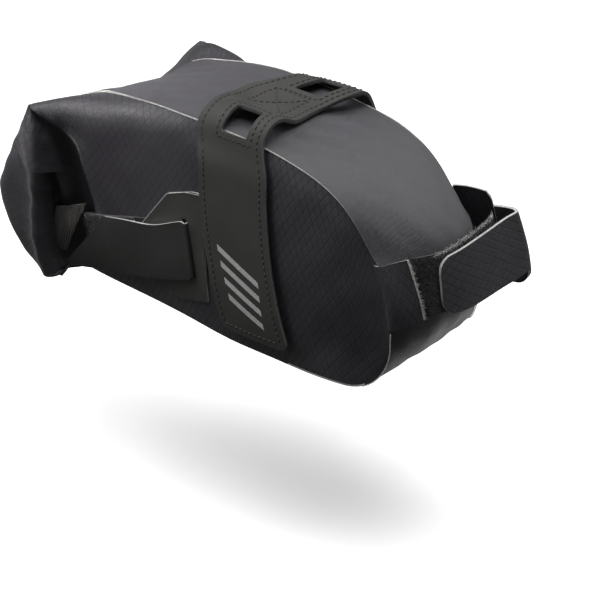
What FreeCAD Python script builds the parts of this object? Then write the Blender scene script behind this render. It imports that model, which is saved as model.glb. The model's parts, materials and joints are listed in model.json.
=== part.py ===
"""Saddle bag with a fold-down rear closure, hung from the saddle's rails and strapped to the seatpost.

Frame: millimetres, +X forward to the seatpost, +Y to the rider's left, +Z up. The origin is the point midway
between the two saddle rails, where their strap crosses the bag. Every size is read from the Dims sheet.
"""
import FreeCAD, Part
import math
import os

import Sketcher
from FreeCAD import Placement, Rotation, Vector

OUT = "parts"
RIGHT, LEFT = 1, -1                     # the rider's right is -Y
SIDES = ((RIGHT, "right"), (LEFT, "left"))

# Driving dimensions in millimetres and degrees. Each name is the alias of a cell of the Dims sheet.
DIMENSIONS = {
    # shell
    "wall": 1.0,               # laminated fabric with its lining
    "top_half": 30.0,          # half width of the top panel
    "base_half": 44.0,         # half width at the base
    "nose_top_half": 28.0,     # the same two at the front
    "nose_base_half": 34.0,
    "roof": -3.7,              # height of the top panel under the rail strap
    "floor": -96.5,            # height of the underside
    "shell_rear": -60.0,       # where the panels end and the sleeve begins
    "shell_mid": 45.0,         # where the sides start to narrow
    "shell_front": 99.0,       # foremost point of the rounded front
    "front_radius": 52.0,      # the front's radius, seen from above
    "slope_start": 8.0,        # where the roof starts to fall towards the nose
    "crest_x": 64.0,           # the roof's corner above the nose, before it is rounded
    "crest_z": -12.0,
    "brow_z": -45.0,           # the corner below it, where the front becomes upright
    "nose_round": 36.0,
    "toe_round": 14.0,         # front lower edge
    "panel_split": -38.5,      # where the top panel laps the front of the base panel
    "board": 1.5,              # stiffening board on the floor
    "board_rear_gap": 6.0,     # from the board to the ends and the sides of the shell
    "board_front_gap": 25.0,
    "board_side_gap": 9.0,
    "board_corner": 12.0,
    # rear sleeve and folded closure
    "sleeve_rear": -87.0,
    "mouth_top_half": 26.0,
    "mouth_base_half": 37.0,
    "mouth_roof": -15.0,
    "mouth_floor": -93.0,
    "fold_front": -89.0,
    "fold_back": -117.0,
    "fold_top": -12.0,
    "fold_base": -95.5,
    "fold_half": 50.0,
    "fold_wall": 3.0,          # layers of folded fabric
    "fold_crown": 0.5,         # fall of its top towards the rear
    "fold_shoulder": 13.0,     # from its back to the edge of its top
    "fold_lean": 4.0,          # its back leans in by this at its top and base
    "fold_lean_drop": 8.0,     # from its top to where the back begins
    "fold_bulge_drop": 43.0,   # and to where the back stands furthest out
    "cheek_drop": 9.0,         # and to the upper edge of its sides
    "curl_radius": 6.0,        # the fold's two upright ends
    "curl_setback": 9.5,       # from the front of the fold to the middle of the curl
    "curl_overhang": 1.0,
    "strip": 1.5,              # stiffening strip in the hem of the mouth
    "strip_height": 22.0,
    "strip_drop": 32.0,        # from the top of the fold to the strip's lower edge
    "strip_setback": 7.5,      # from the back of the fold
    "strip_end_gap": 5.0,
    # strap over the saddle rails
    "rail_radius": 3.5,
    "rail_play": 0.2,
    "rail_spacing": 44.0,      # centre to centre of the saddle rails
    "rail_strap": 36.0,        # width of the strap
    "strap_flat": 6.5,         # half width of its sewn middle
    "bump_inner": 6.5,         # each bump, from the rail's middle
    "bump_outer": 6.0,
    "shoulder_in": 0.8,        # where it turns down the side
    "shoulder_z": 0.5,
    "outer_layer": 1.0,
    "lining_layer": 0.8,
    "window_along": 13.0,      # window in the strap above each rail
    "window_across": 14.0,
    "flap_gap": 2.8,           # from the side wall to the flap's lining
    "flap_hinge": -9.0,        # how far down the side the flap starts to lift
    "hinge_above": 2.6,        # from there up to the sewn part, and down to the flap
    "hinge_below": 0.7,
    "flap_drop": 86.0,         # how far down it ends
    "flap_lean": 26.0,         # how far forward its free end lies
    "flap_corner": 4.0,
    "pile": 1.2,               # hook or loop tape
    "pile_press": 0.4,         # how much thinner it is where it is pressed
    "tape_inset": 6.0,         # from the flap's edges to its tape
    "tape_top": -50.0,
    "tape_end_gap": 5.0,
    # side patch and closure strap
    "play": 0.2,               # between pieces that lie on each other
    "patch": 2.4,
    "patch_corner": 2.0,
    "passage": 1.4,            # room under the patch for the closure strap
    "passage_length": 40.0,
    "slot_x": -15.5,
    "slot_v": -57.5,
    "slot_width": 3.4,
    "slot_length": 27.0,
    "closure_tilt": 14.5,      # the closure strap falls by this angle towards the rear
    "closure_strap": 25.0,     # its width
    "closure_layer": 1.0,
    "run_length": 57.5,        # its inner run, from the slot
    "run_pad_start": 29.0,     # loop pile on the run
    "run_pad_end": 57.0,
    "end_short": 46.0,         # its folded-back end, along its upper edge
    "end_long": 73.0,          # and along its lower edge
    "end_corner": 2.5,
    "end_pad_start": 30.0,     # hook tape on the folded-back end
    "end_pad_end": 45.0,
    "turn_gap": 0.6,           # between the end and the turn at the slot
    "turn": 1.0,
    "webbing_width": 21.0,
    "webbing_layer": 1.3,
    "webbing_drop": 67.5,      # from the wall's top edge to its middle
    "webbing_rear": -92.5,     # it runs from here, on the curl, down to the wall
    "webbing_bend": -86.0,
    "webbing_front": -75.5,
    "webbing_rear_out": 4.6,
    "webbing_bend_out": 0.5,
    # seatpost strap
    "post_top": -38.0,
    "post_width": 28.0,
    "post_layer": 1.5,
    "post_hinge_x": 104.0,
    "post_hinge_y": 43.9,
    "tab_width": 26.0,         # right tab and loop strip
    "tab_root": 20.0,          # where the tabs leave the sides, back from the front
    "tab_root_out": 2.4,       # and how far from the sides
    "tab_out": 0.3,            # how far the right tab lies from the front
    "loop_out": 1.4,           # the same for the loop strip
    "hook_gap": 0.5,           # between loop strip and hook tape
    "far_tab_bend": 7.0,       # where the left tab bends outward, back from the front
    "far_tab_flare": 6.5,
    "far_tab_end_x": 2.4,      # from the hinge back to the left tab's end
    "far_tab_end_y": 2.0,
    "far_tab_rise": 6.0,       # the left tab's edges, from the strap's top edge
    "far_tab_fall": 34.0,
    "strap_end_x": 0.8,        # from the hinge to the strap's end
    "strap_end_y": 1.9,
}

# Corners of the side patch: forward of the origin, and up from the top edge of the side wall
PATCH_OUTLINE = [("-42", "-51"), ("-34", "-79.5"), ("-21", "-84"), ("-2", "-79"),
                 ("-6.5", "-55"), ("-10.5", "-32"), ("-16", "-31.5"), ("-31.5", "-36.5")]

# Angles round the front, seen from above: 0 is straight ahead, and the left is positive
TAB_EDGE_ANGLE = -26.0
TAB_TURN_ANGLE = -41.0
LOOP_END_ANGLE = 35.0
STRAP_TOUCH_ANGLE = 6.0
STRAP_STEP_ANGLE = -5.6
STRAP_STEPS = 5
HOOK_STEPS = (1, 4)                     # the steps of the strap between which its hook tape lies

SAME_POINT = 1e-3                       # points nearer than this are the same
OVERRUN = "0.01"                        # how far a cutting form runs past the form that it cuts

# Formulas that several pieces share
FLARE = "atan((base_half - top_half) / (roof - floor))"    # how far each side leans out from upright
FRONT_CENTRE = "(shell_front - front_radius)"
HALF_STRAP = "rail_strap / 2"
LINING_TOP = "(flap_gap + lining_layer)"
STRAP_UNDER = "(rail_radius + rail_play)"                  # height of the rail strap's lining above a rail

document = FreeCAD.newDocument("SaddleBag")
dims = document.addObject("Spreadsheet::Sheet", "Dims")
for row, (alias, value) in enumerate(DIMENSIONS.items(), start=1):
    dims.set(f"A{row}", alias)
    dims.set(f"B{row}", str(value))
    dims.setAlias(f"B{row}", alias)
document.recompute()

parts = []                              # every object that is written out, in the order of its making


def size(formula):
    """The number that a formula of sheet aliases comes to."""
    value = dims.evalExpression(str(formula))
    return float(getattr(value, "Value", value))


def bound(formula):
    """The same formula as another object writes it: each alias with the sheet's name in front."""
    text, word = "", ""
    for letter in str(formula) + " ":
        if letter.isalnum() or letter == "_":
            word += letter
            continue
        text += ("Dims." + word if word in DIMENSIONS else word) + letter
        word = ""
    return text.strip()


def keep(thing, label):
    """Marks an object as a sub-part of the bag, under that name."""
    thing.Label = label
    parts.append(thing)
    return thing


# ---- outlines: lists of points, each a pair of formulas

def moved(points, amount, closed=False):
    """The same line, moved to its left by a formula's amount, with mitred corners."""
    spots = [Vector(size(x), size(y), 0) for x, y in points]
    count = len(spots)
    lines = [(spots[(i + 1) % count] - spots[i]).normalize() for i in range(count if closed else count - 1)]
    result = []
    for i, (x, y) in enumerate(points):
        before = lines[i - 1] if closed or i > 0 else lines[0]
        after = lines[i % count] if closed or i < count - 1 else lines[-1]
        mitre = Vector(-before.y - after.y, before.x + after.x, 0) / (1 + before.dot(after))
        result.append((f"{x} + {mitre.x:.5f} * ({amount})", f"{y} + {mitre.y:.5f} * ({amount})"))
    return result


def ribbon(path, low, high):
    """Outline of a sheet that follows a path, between two distances to the path's left."""
    return moved(path, low) + moved(path, high)[::-1]


def box_outline(left, right, low, high):
    return [(left, low), (right, low), (right, high), (left, high)]


def draw(sketch, points):
    """Closed polygon in a sketch, with every corner bound to the sheet."""
    corners = [Vector(size(x), size(y), 0) for x, y in points]
    count = len(corners)
    for i in range(count):
        sketch.addGeometry(Part.LineSegment(corners[i], corners[(i + 1) % count]), False)
    for i in range(count):
        sketch.addConstraint(Sketcher.Constraint("Coincident", i, 2, (i + 1) % count, 1))
    for i, (x, y) in enumerate(points):
        for kind, formula, value in (("DistanceX", x, corners[i].x), ("DistanceY", y, corners[i].y)):
            index = sketch.addConstraint(Sketcher.Constraint(kind, -1, 1, i, 1, value))
            sketch.setExpression(f"Constraints[{index}]", bound(formula))


# ---- bodies made of padded sketches

def new_body(name):
    return document.addObject("PartDesign::Body", name)


def sketch_on(body, role, points, height="0"):
    """Sketch on one of the body's origin planes, raised along the plane's normal."""
    plane = [feature for feature in body.Origin.OriginFeatures if feature.Role == role][0]
    sketch = body.newObject("Sketcher::SketchObject", body.Name + "_outline")
    sketch.AttachmentSupport = [(plane, "")]
    sketch.MapMode = "FlatFace"
    sketch.setExpression("AttachmentOffset.Base.z", bound(height))
    draw(sketch, points)
    return sketch


def pad(body, sketch, length, both_ways=False, backward=False):
    feature = body.newObject("PartDesign::Pad", body.Name + "_pad")
    feature.Profile = sketch
    feature.Midplane = both_ways
    feature.Reversed = backward
    feature.setExpression("Length", bound(length))
    document.recompute()
    return feature


def pocket(body, sketch, length, both_ways=False, backward=False):
    feature = body.newObject("PartDesign::Pocket", body.Name + "_pocket")
    feature.Profile = sketch
    feature.Midplane = both_ways
    feature.Reversed = backward
    feature.setExpression("Length", bound(length))
    document.recompute()
    return feature


def round_corners(body, feature, corners, radius, upright=False):
    """Rounds the edges of a padded outline at the given corners, in the XY plane or the upright XZ plane."""
    names = []
    for number, edge in enumerate(feature.Shape.Edges, start=1):
        ends = [vertex.Point for vertex in edge.Vertexes]
        for x, y in corners:
            gaps = [math.hypot(end.x - size(x), (end.z if upright else end.y) - size(y)) for end in ends]
            if max(gaps) < SAME_POINT:
                names.append(f"Edge{number}")
    fillet = body.newObject("PartDesign::Fillet", body.Name + "_rounding")
    fillet.Base = (feature, names)
    fillet.setExpression("Radius", bound(radius))
    document.recompute()
    return fillet


def place_on_side(body, side):
    """Lays a body's XY plane on a side wall: x forward, y up the wall from its top edge.

    Its z points away from the bag on the right and into the bag on the left, so outward is side * z.
    """
    body.Placement = Placement(Vector(0, 0, 0), Rotation(Vector(1, 0, 0), 90))
    body.setExpression("Placement.Base.y", bound(f"{-side} * top_half"))
    body.setExpression("Placement.Base.z", bound("roof"))
    body.setExpression("Placement.Rotation.Angle", bound(f"90 deg - {side} * {FLARE}"))


def side_plate(label, side, points, low, high):
    """Flat piece on a side wall, between two distances out from it."""
    body = new_body(label)
    place_on_side(body, side)
    feature = add_side_plate(body, side, points, low, high)
    return keep(body, label), feature


def add_side_plate(body, side, points, low, high):
    sketch = sketch_on(body, "XY_Plane", points, f"{side} * ({low})")
    return pad(body, sketch, f"({high}) - ({low})", backward=side == LEFT)


def cut_side_plate(body, side, points, high):
    """Cuts a flat opening into a side piece, from the wall outward."""
    sketch = sketch_on(body, "XY_Plane", points)
    return pocket(body, sketch, high, backward=side == RIGHT)


def upright_ribbon(label, path, low, high, bottom, top):
    """Sheet that stands upright on a path seen from above."""
    body = new_body(label)
    pad(body, sketch_on(body, "XY_Plane", ribbon(path, low, high), bottom), f"({top}) - ({bottom})")
    return keep(body, label)


# ---- shell: outer form less inner form, parted into panels

SECTION = Rotation(Vector(0, 1, 0), Vector(0, 0, 1), Vector(1, 0, 0), "ZXY")   # x to Y, y to Z, z to X


def cross_section(name, at, top, base, upper, lower):
    """Upright trapezium across the bag."""
    sketch = document.addObject("Sketcher::SketchObject", name)
    sketch.Placement = Placement(Vector(size(at), 0, 0), SECTION)
    sketch.setExpression("Placement.Base.x", bound(at))
    draw(sketch, [(f"-({base})", lower), (base, lower), (top, upper), (f"-({top})", upper)])
    return sketch


def lofted(name, sections):
    loft = document.addObject("Part::Loft", name)
    loft.Sections = sections
    loft.Solid = True
    loft.Ruled = True
    return loft


def flared_sides(name, inset, rear):
    """The form between the two side walls, endless upward and forward of what the other forms leave."""
    rows = (
        (rear, "top_half", "base_half"),
        ("shell_mid", "top_half", "base_half"),
        ("shell_front + 2 * wall", "nose_top_half", "nose_base_half"),
    )
    thickness = f"{inset} / cos({FLARE})"
    sections = []
    for number, (at, top, base) in enumerate(rows):
        halves = (f"{top} - {thickness}", f"{base} - {thickness}")
        sections.append(cross_section(f"{name}_{number}", at, *halves, "roof", "floor"))
    return lofted(name, sections)


def side_profile(name, inset, rear):
    """The bag seen from the side, with its rounded nose and toe."""
    body = new_body(name)
    points = moved(
        [
            ("shell_rear", "floor"),
            ("shell_front", "floor"),
            ("shell_front", "brow_z"),
            ("crest_x", "crest_z"),
            ("slope_start", "roof"),
            ("shell_rear", "roof"),
        ],
        inset,
        closed=True,
    )
    points[0] = (rear, points[0][1])
    points[-1] = (rear, points[-1][1])
    solid = pad(body, sketch_on(body, "XZ_Plane", points), "4 * base_half", both_ways=True)
    solid = round_corners(body, solid, points[2:4], f"nose_round - {inset}", upright=True)
    round_corners(body, solid, points[1:2], f"toe_round - {inset}", upright=True)
    return body


def box(name, x, y, z, length, width, height):
    solid = document.addObject("Part::Box", name)
    for prop, formula in (("Length", length), ("Width", width), ("Height", height)):
        solid.setExpression(prop, bound(formula))
    for axis, formula in (("x", x), ("y", y), ("z", z)):
        solid.setExpression(f"Placement.Base.{axis}", bound(formula))
    return solid


def plan_form(name, inset, rear):
    """The bag seen from above: as long as the shell, with a round front."""
    long_box = box(name + "_box", rear, "-2 * base_half", "2 * floor",
                   f"{FRONT_CENTRE} - ({rear})", "4 * base_half", "-4 * floor")
    drum = document.addObject("Part::Cylinder", name + "_drum")
    drum.setExpression("Radius", bound(f"front_radius - {inset}"))
    drum.setExpression("Height", bound("-4 * floor"))
    drum.setExpression("Placement.Base.x", bound(FRONT_CENTRE))
    drum.setExpression("Placement.Base.z", bound("2 * floor"))
    joined = document.addObject("Part::Fuse", name)
    joined.Base = long_box
    joined.Tool = drum
    return joined


def common(name, shapes):
    result = document.addObject("Part::MultiCommon", name)
    result.Shapes = shapes
    return result


def cut(name, base, tool):
    result = document.addObject("Part::Cut", name)
    result.Base = base
    result.Tool = tool
    return result


def shell_panels():
    behind = "shell_rear - 2 * wall"
    sides = flared_sides("OuterSides", "0", "shell_rear")
    inner_sides = flared_sides("InnerSides", "wall", behind)
    outer = common("Outer", [sides, side_profile("OuterProfile", "0", "shell_rear"),
                             plan_form("OuterPlan", "0", "shell_rear")])
    inner = common("Inner", [side_profile("InnerProfile", "wall", behind),
                             plan_form("InnerPlan", "wall", behind)])
    for side, word in SIDES:
        half = box(f"Half_{word}", "2 * shell_rear", f"{0 if side == LEFT else -2} * base_half", "2 * floor",
                   "-4 * shell_rear", "2 * base_half", "-4 * floor")
        wall = cut(f"Walls_{word}", outer, inner_sides)
        keep(common(f"side_panel_{word}", [wall, half]), f"side_panel_{word}")
    strip = cut("Strip", common("Band", [outer, inner_sides]), inner)
    upper = box("Upper", "2 * shell_rear", "-2 * base_half", "panel_split", "-4 * shell_rear", "4 * base_half",
                "-floor")
    keep(common("top_panel", [strip, upper]), "top_panel")
    keep(cut("base_panel", strip, upper), "base_panel")


def floor_board():
    body = new_body("base_stiffener")
    half = "(base_half - board_side_gap)"
    outline = box_outline("shell_rear + board_rear_gap", "shell_front - board_front_gap", f"-{half}", half)
    board = pad(body, sketch_on(body, "XY_Plane", outline, "floor + wall"), "board")
    round_corners(body, board, outline, "board_corner")
    keep(body, "base_stiffener")


def rear_sleeve():
    """Soft neck behind the panels, which narrows to the bag's mouth."""
    skins = []
    for name, inset, spare in (("SleeveOuter", "0", "0"), ("SleeveInner", "wall", OVERRUN)):
        side_inset = f"{inset} / cos({FLARE})"
        skins.append(lofted(name, [
            cross_section(name + "_front", f"shell_rear + {spare}", f"top_half - {side_inset}",
                          f"base_half - {side_inset}", f"roof - {inset}", f"floor + {inset}"),
            cross_section(name + "_rear", f"sleeve_rear - {spare}", f"mouth_top_half - {side_inset}",
                          f"mouth_base_half - {side_inset}", f"mouth_roof - {inset}", f"mouth_floor + {inset}"),
        ]))
    keep(cut("rear_sleeve", *skins), "rear_sleeve")


# ---- folded closure at the rear

def closure_fold():
    """The mouth folded down over the rear: a hood with a rolled end at each side."""
    body = new_body("Hood")
    path = [
        ("fold_front", "fold_top"),
        ("fold_back + fold_shoulder", "fold_top - fold_crown"),
        ("fold_back + fold_lean", "fold_top - fold_lean_drop"),
        ("fold_back", "fold_top - fold_bulge_drop"),
        ("fold_back + fold_lean", "fold_base"),
    ]
    pad(body, sketch_on(body, "XZ_Plane", ribbon(path, "0", "fold_wall")), "2 * fold_half", both_ways=True)
    pieces = [body]
    for side, word in SIDES:
        curl = document.addObject("Part::Cylinder", f"Curl_{word}")
        curl.setExpression("Radius", bound("curl_radius"))
        curl.setExpression("Height", bound("fold_top - fold_base"))
        curl.setExpression("Placement.Base.x", bound("fold_front - curl_setback"))
        curl.setExpression("Placement.Base.y", bound(f"{-side} * (fold_half + curl_overhang)"))
        curl.setExpression("Placement.Base.z", bound("fold_base"))
        cheek_edge = "-fold_half" if side == RIGHT else "fold_half - fold_wall"
        cheek = box(f"Cheek_{word}", "fold_back + fold_wall", cheek_edge, "fold_base",
                    "fold_front - curl_setback - fold_back - fold_wall", "fold_wall",
                    "fold_top - fold_base - cheek_drop")
        pieces += [curl, cheek]
    fold = document.addObject("Part::MultiFuse", "closure_fold")
    fold.Shapes = pieces
    keep(fold, "closure_fold")


def closure_stiffener():
    body = new_body("closure_stiffener")
    back = "(fold_back + strip_setback)"
    half = "(fold_half - strip_end_gap)"
    outline = box_outline(back, f"{back} + strip", f"-{half}", half)
    pad(body, sketch_on(body, "XY_Plane", outline, "fold_top - strip_drop"), "strip_height")
    keep(body, "closure_stiffener")


def along_strap(x, across):
    """Point on a side wall, given from the slot: x forward along the closure strap, and across it."""
    return (f"slot_x + ({x}) * cos(closure_tilt) - ({across}) * sin(closure_tilt)",
            f"slot_v + ({x}) * sin(closure_tilt) + ({across}) * cos(closure_tilt)")


def strap_outline(rear, front, width):
    return [along_strap(rear, f"-({width}) / 2"), along_strap(front, f"-({width}) / 2"),
            along_strap(front, f"({width}) / 2"), along_strap(rear, f"({width}) / 2")]


def side_patch(side, word):
    """Patch with a slot. It is sewn down round a passage that the closure strap runs through."""
    body, plate = side_plate(f"side_patch_{word}", side, PATCH_OUTLINE, "0", "patch")
    round_corners(body, plate, PATCH_OUTLINE, "patch_corner")
    tunnel = strap_outline("-passage_length", "slot_width / 2", "closure_strap + 5 * play")
    cut_side_plate(body, side, tunnel, "passage")
    slot = strap_outline("-slot_width / 2", "slot_width / 2", "slot_length")
    cut_side_plate(body, side, slot, "patch + wall")


def closure_strap(side, word):
    """Inner run under the patch and up through its slot, and the outer end that folds back over it."""
    run_high = "(play + closure_layer)"
    end_low = f"({run_high} + 2 * pile - pile_press)"
    turn_low = "(turn_gap + play)"
    flat = strap_outline("-run_length", f"-{turn_low}", "closure_strap")
    run, _ = side_plate(f"strap_run_{word}", side, flat, "play", run_high)
    turn = strap_outline(f"-{turn_low}", f"turn - {turn_low}", "closure_strap")
    add_side_plate(run, side, turn, "play", f"{end_low} - turn_gap - play")
    pad_outline = strap_outline("-run_pad_end", "-run_pad_start", "closure_strap - wall")
    side_plate(f"run_loop_pad_{word}", side, pad_outline, run_high, f"{run_high} + pile - pile_press")
    outline = [along_strap("-end_short", "closure_strap / 2"), along_strap("-end_long", "-closure_strap / 2"),
               along_strap("-turn_gap", "-closure_strap / 2"), along_strap("-turn_gap", "closure_strap / 2")]
    end, plate = side_plate(f"strap_end_{word}", side, outline, end_low, f"{end_low} + closure_layer")
    round_corners(end, plate, outline[:2], "end_corner")
    pad_outline = strap_outline("-end_pad_end", "-end_pad_start", "closure_strap - 3 * wall")
    side_plate(f"end_hook_pad_{word}", side, pad_outline, f"{end_low} - pile + pile_press", end_low)


def closure_webbing(side, word):
    """Elastic webbing from the closure's rolled end towards the closure strap."""
    body = new_body(f"closure_webbing_{word}")
    place_on_side(body, side)
    path = [
        ("webbing_rear", f"{side} * webbing_rear_out"),
        ("webbing_bend", f"{side} * webbing_bend_out"),
        ("webbing_front", f"{side} * play"),
    ]
    outline = ribbon(path, "0", f"{side} * webbing_layer")
    sketch = sketch_on(body, "XZ_Plane", outline, "webbing_drop")
    pad(body, sketch, "webbing_width", both_ways=True)
    keep(body, f"closure_webbing_{word}")


# ---- strap over the saddle rails

def rail_strap():
    """Sewn down along its middle. It rises over each rail, and each end turns down the side."""
    end_z = f"(roof + (flap_hinge + hinge_above) * cos({FLARE}))"
    half_path = [
        ("strap_flat", "roof"),
        ("rail_spacing / 2 - bump_inner", STRAP_UNDER),
        ("rail_spacing / 2 + bump_outer", STRAP_UNDER),
        ("top_half + flap_gap - shoulder_in", "shoulder_z"),
        (f"top_half + (roof - {end_z}) * tan({FLARE}) + flap_gap / cos({FLARE})", end_z),
    ]
    path = [(f"-({y})", z) for y, z in half_path[::-1]] + half_path
    layers = (
        ("rail_strap_lining", "0", "lining_layer"),
        ("rail_strap", "lining_layer", "lining_layer + outer_layer"),
    )
    for label, low, high in layers:
        body = new_body(label)
        pad(body, sketch_on(body, "YZ_Plane", ribbon(path, low, high)), "rail_strap", both_ways=True)
        for side, _ in SIDES:
            middle = f"{side} * rail_spacing / 2"
            window = box_outline("-window_along / 2", "window_along / 2", f"{middle} - window_across / 2",
                                 f"{middle} + window_across / 2")
            pocket(body, sketch_on(body, "XY_Plane", window), "rail_strap", both_ways=True)
        keep(body, label)


def flap_outline(inset, top, bottom):
    """Flap on a side wall, between two heights, with its lean to the front growing as it falls."""
    edges = ([], [])
    steps = 4
    for step in range(steps + 1):
        height = f"(({top}) + (({bottom}) - ({top})) * {step / steps})"
        drop = f"(-{height} / flap_drop)"
        for sign, edge in zip((-1, 1), edges):
            edge.append((f"flap_lean * ({drop} + {drop} * {drop}) / 2 + {sign} * ({HALF_STRAP} - {inset})", height))
    return edges[0] + edges[1][::-1]


def rail_flap(side, word):
    """Free end of the rail strap, with hook tape inside that grips loop tape on the side wall."""
    top = "flap_hinge - hinge_below"
    outline = flap_outline("0", top, "-flap_drop")
    corners = (outline[4], outline[5])
    layers = (
        ("rail_flap", LINING_TOP, f"{LINING_TOP} + outer_layer"),
        ("flap_lining", "flap_gap", LINING_TOP),
    )
    for name, low, high in layers:
        body, plate = side_plate(f"{name}_{word}", side, outline, low, high)
        round_corners(body, plate, corners, "flap_corner")
    tape = flap_outline("tape_inset", "tape_top", "tape_end_gap - flap_drop")
    side_plate(f"flap_hook_pad_{word}", side, tape, "flap_gap - pile", "flap_gap")
    side_plate(f"side_loop_pad_{word}", side, tape, "0", "pile")


# ---- seatpost strap

def front_arc(first, last, steps, out):
    """Points round the front, from one angle to the other, at a distance out from the shell."""
    radius = f"(front_radius + {out})"
    turns = [first + (last - first) * step / steps for step in range(steps + 1)]
    return [(f"{FRONT_CENTRE} + {radius} * cos({turn:g})", f"{radius} * sin({turn:g})") for turn in turns]


def strap_arc(first, last, out):
    """The same, between two of the seatpost strap's steps."""
    turns = [STRAP_TOUCH_ANGLE + step * STRAP_STEP_ANGLE for step in (first, last)]
    return front_arc(*turns, last - first, out)


def seatpost_strap():
    """Two tabs at the front: the right one carries a loop strip, the left one the strap that closes over it."""
    root_x = "shell_front - tab_root"
    bottom = "post_top - tab_width"
    near_tab = front_arc(TAB_EDGE_ANGLE, TAB_TURN_ANGLE, 3, "tab_out")
    near_tab += [(root_x, "-(nose_base_half + tab_root_out)")]
    upright_ribbon("front_tab_right", near_tab, "0", "wall", bottom, "post_top")
    far_tab = [
        (root_x, "nose_base_half + tab_root_out"),
        ("shell_front - far_tab_bend", "nose_base_half + far_tab_flare"),
        ("post_hinge_x - far_tab_end_x", "post_hinge_y + far_tab_end_y"),
    ]
    upright_ribbon("front_tab_left", far_tab, "0", "wall", "post_top - far_tab_fall", "post_top + far_tab_rise")
    loop_path = front_arc(LOOP_END_ANGLE, TAB_EDGE_ANGLE, 10, "loop_out")
    upright_ribbon("seatpost_loop_strip", loop_path, "0", "pile", bottom, "post_top")
    hook_low = "(loop_out + pile + hook_gap)"
    hook = "(pile - pile_press)"
    hook_path = strap_arc(*HOOK_STEPS, hook_low)
    upright_ribbon("seatpost_hook_pad", hook_path, "0", hook, bottom, "post_top - 2 * wall")
    strap_path = [("post_hinge_x - strap_end_x", "post_hinge_y - strap_end_y")]
    strap_path += strap_arc(0, STRAP_STEPS, f"({hook_low} + {hook} + play / 4)")
    upright_ribbon("seatpost_strap", strap_path, "0", "post_layer", "post_top - post_width", "post_top")


shell_panels()
floor_board()
rear_sleeve()
closure_fold()
closure_stiffener()
for side, word in SIDES:
    side_patch(side, word)
    closure_strap(side, word)
    closure_webbing(side, word)
rail_strap()
for side, word in SIDES:
    rail_flap(side, word)
seatpost_strap()
document.recompute()

# ---- check and write

for thing in document.Objects:
    for flag in ("Invalid", "Error"):
        if flag in thing.State:
            raise RuntimeError(f"{thing.Name} is {flag}")
os.makedirs(OUT, exist_ok=True)
for thing in parts:
    if thing.Shape.isNull() or not thing.Shape.isValid() or not thing.Shape.Solids:
        raise RuntimeError(f"{thing.Label} has no valid solid")
for thing in parts:
    thing.Shape.exportStep(os.path.join(OUT, thing.Label + ".step"))
    bounds = thing.Shape.BoundBox
    print(f"{thing.Label:24s} solids {len(thing.Shape.Solids)} volume {thing.Shape.Volume:9.0f} "
          f"x {bounds.XMin:7.1f} {bounds.XMax:7.1f} y {bounds.YMin:7.1f} {bounds.YMax:7.1f} "
          f"z {bounds.ZMin:7.1f} {bounds.ZMax:7.1f}")
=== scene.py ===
# Saddle bag: the visual model, built round the imported CAD frame.
# Shapes are worked out in millimetres as (forward, outward, up) for the rider's right side, and turned into
# the frame's metres when a mesh is made. Fabric is laid as smooth sheets through small nets of listed
# points.
import json
import math
import random

import bmesh
import bpy
import numpy as np
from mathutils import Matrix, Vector


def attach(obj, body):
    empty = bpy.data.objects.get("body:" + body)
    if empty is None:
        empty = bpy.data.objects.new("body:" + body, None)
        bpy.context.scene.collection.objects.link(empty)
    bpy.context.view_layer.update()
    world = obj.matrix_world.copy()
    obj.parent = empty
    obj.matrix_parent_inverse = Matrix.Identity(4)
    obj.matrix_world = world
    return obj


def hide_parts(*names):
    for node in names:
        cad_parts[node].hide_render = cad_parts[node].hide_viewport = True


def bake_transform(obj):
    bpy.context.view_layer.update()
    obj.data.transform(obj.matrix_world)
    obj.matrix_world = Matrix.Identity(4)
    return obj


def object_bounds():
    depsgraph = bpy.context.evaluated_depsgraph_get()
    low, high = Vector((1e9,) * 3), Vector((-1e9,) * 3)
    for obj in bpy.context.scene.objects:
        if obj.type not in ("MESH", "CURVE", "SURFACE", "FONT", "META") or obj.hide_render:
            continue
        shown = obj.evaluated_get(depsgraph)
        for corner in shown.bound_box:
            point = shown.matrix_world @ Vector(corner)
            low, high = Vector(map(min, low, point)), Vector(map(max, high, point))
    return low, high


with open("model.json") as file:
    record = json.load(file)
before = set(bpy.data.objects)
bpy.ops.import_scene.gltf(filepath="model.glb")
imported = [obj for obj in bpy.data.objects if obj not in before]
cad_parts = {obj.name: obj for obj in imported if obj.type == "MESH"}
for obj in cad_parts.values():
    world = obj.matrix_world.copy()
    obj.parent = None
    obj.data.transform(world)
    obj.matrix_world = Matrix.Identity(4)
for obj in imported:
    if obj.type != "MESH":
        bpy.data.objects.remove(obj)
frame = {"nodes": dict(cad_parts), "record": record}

CAD_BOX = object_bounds()
MM = 0.001
RIGHT, LEFT = 1, -1                     # the rider's right is -Y
SIDES = ((RIGHT, "right"), (LEFT, "left"))
INSIDE = np.array([0.0, 0.0, -50.0])    # a point inside the bag, in millimetres
random.seed(4)


# ---- smooth curves and surfaces ----

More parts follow.
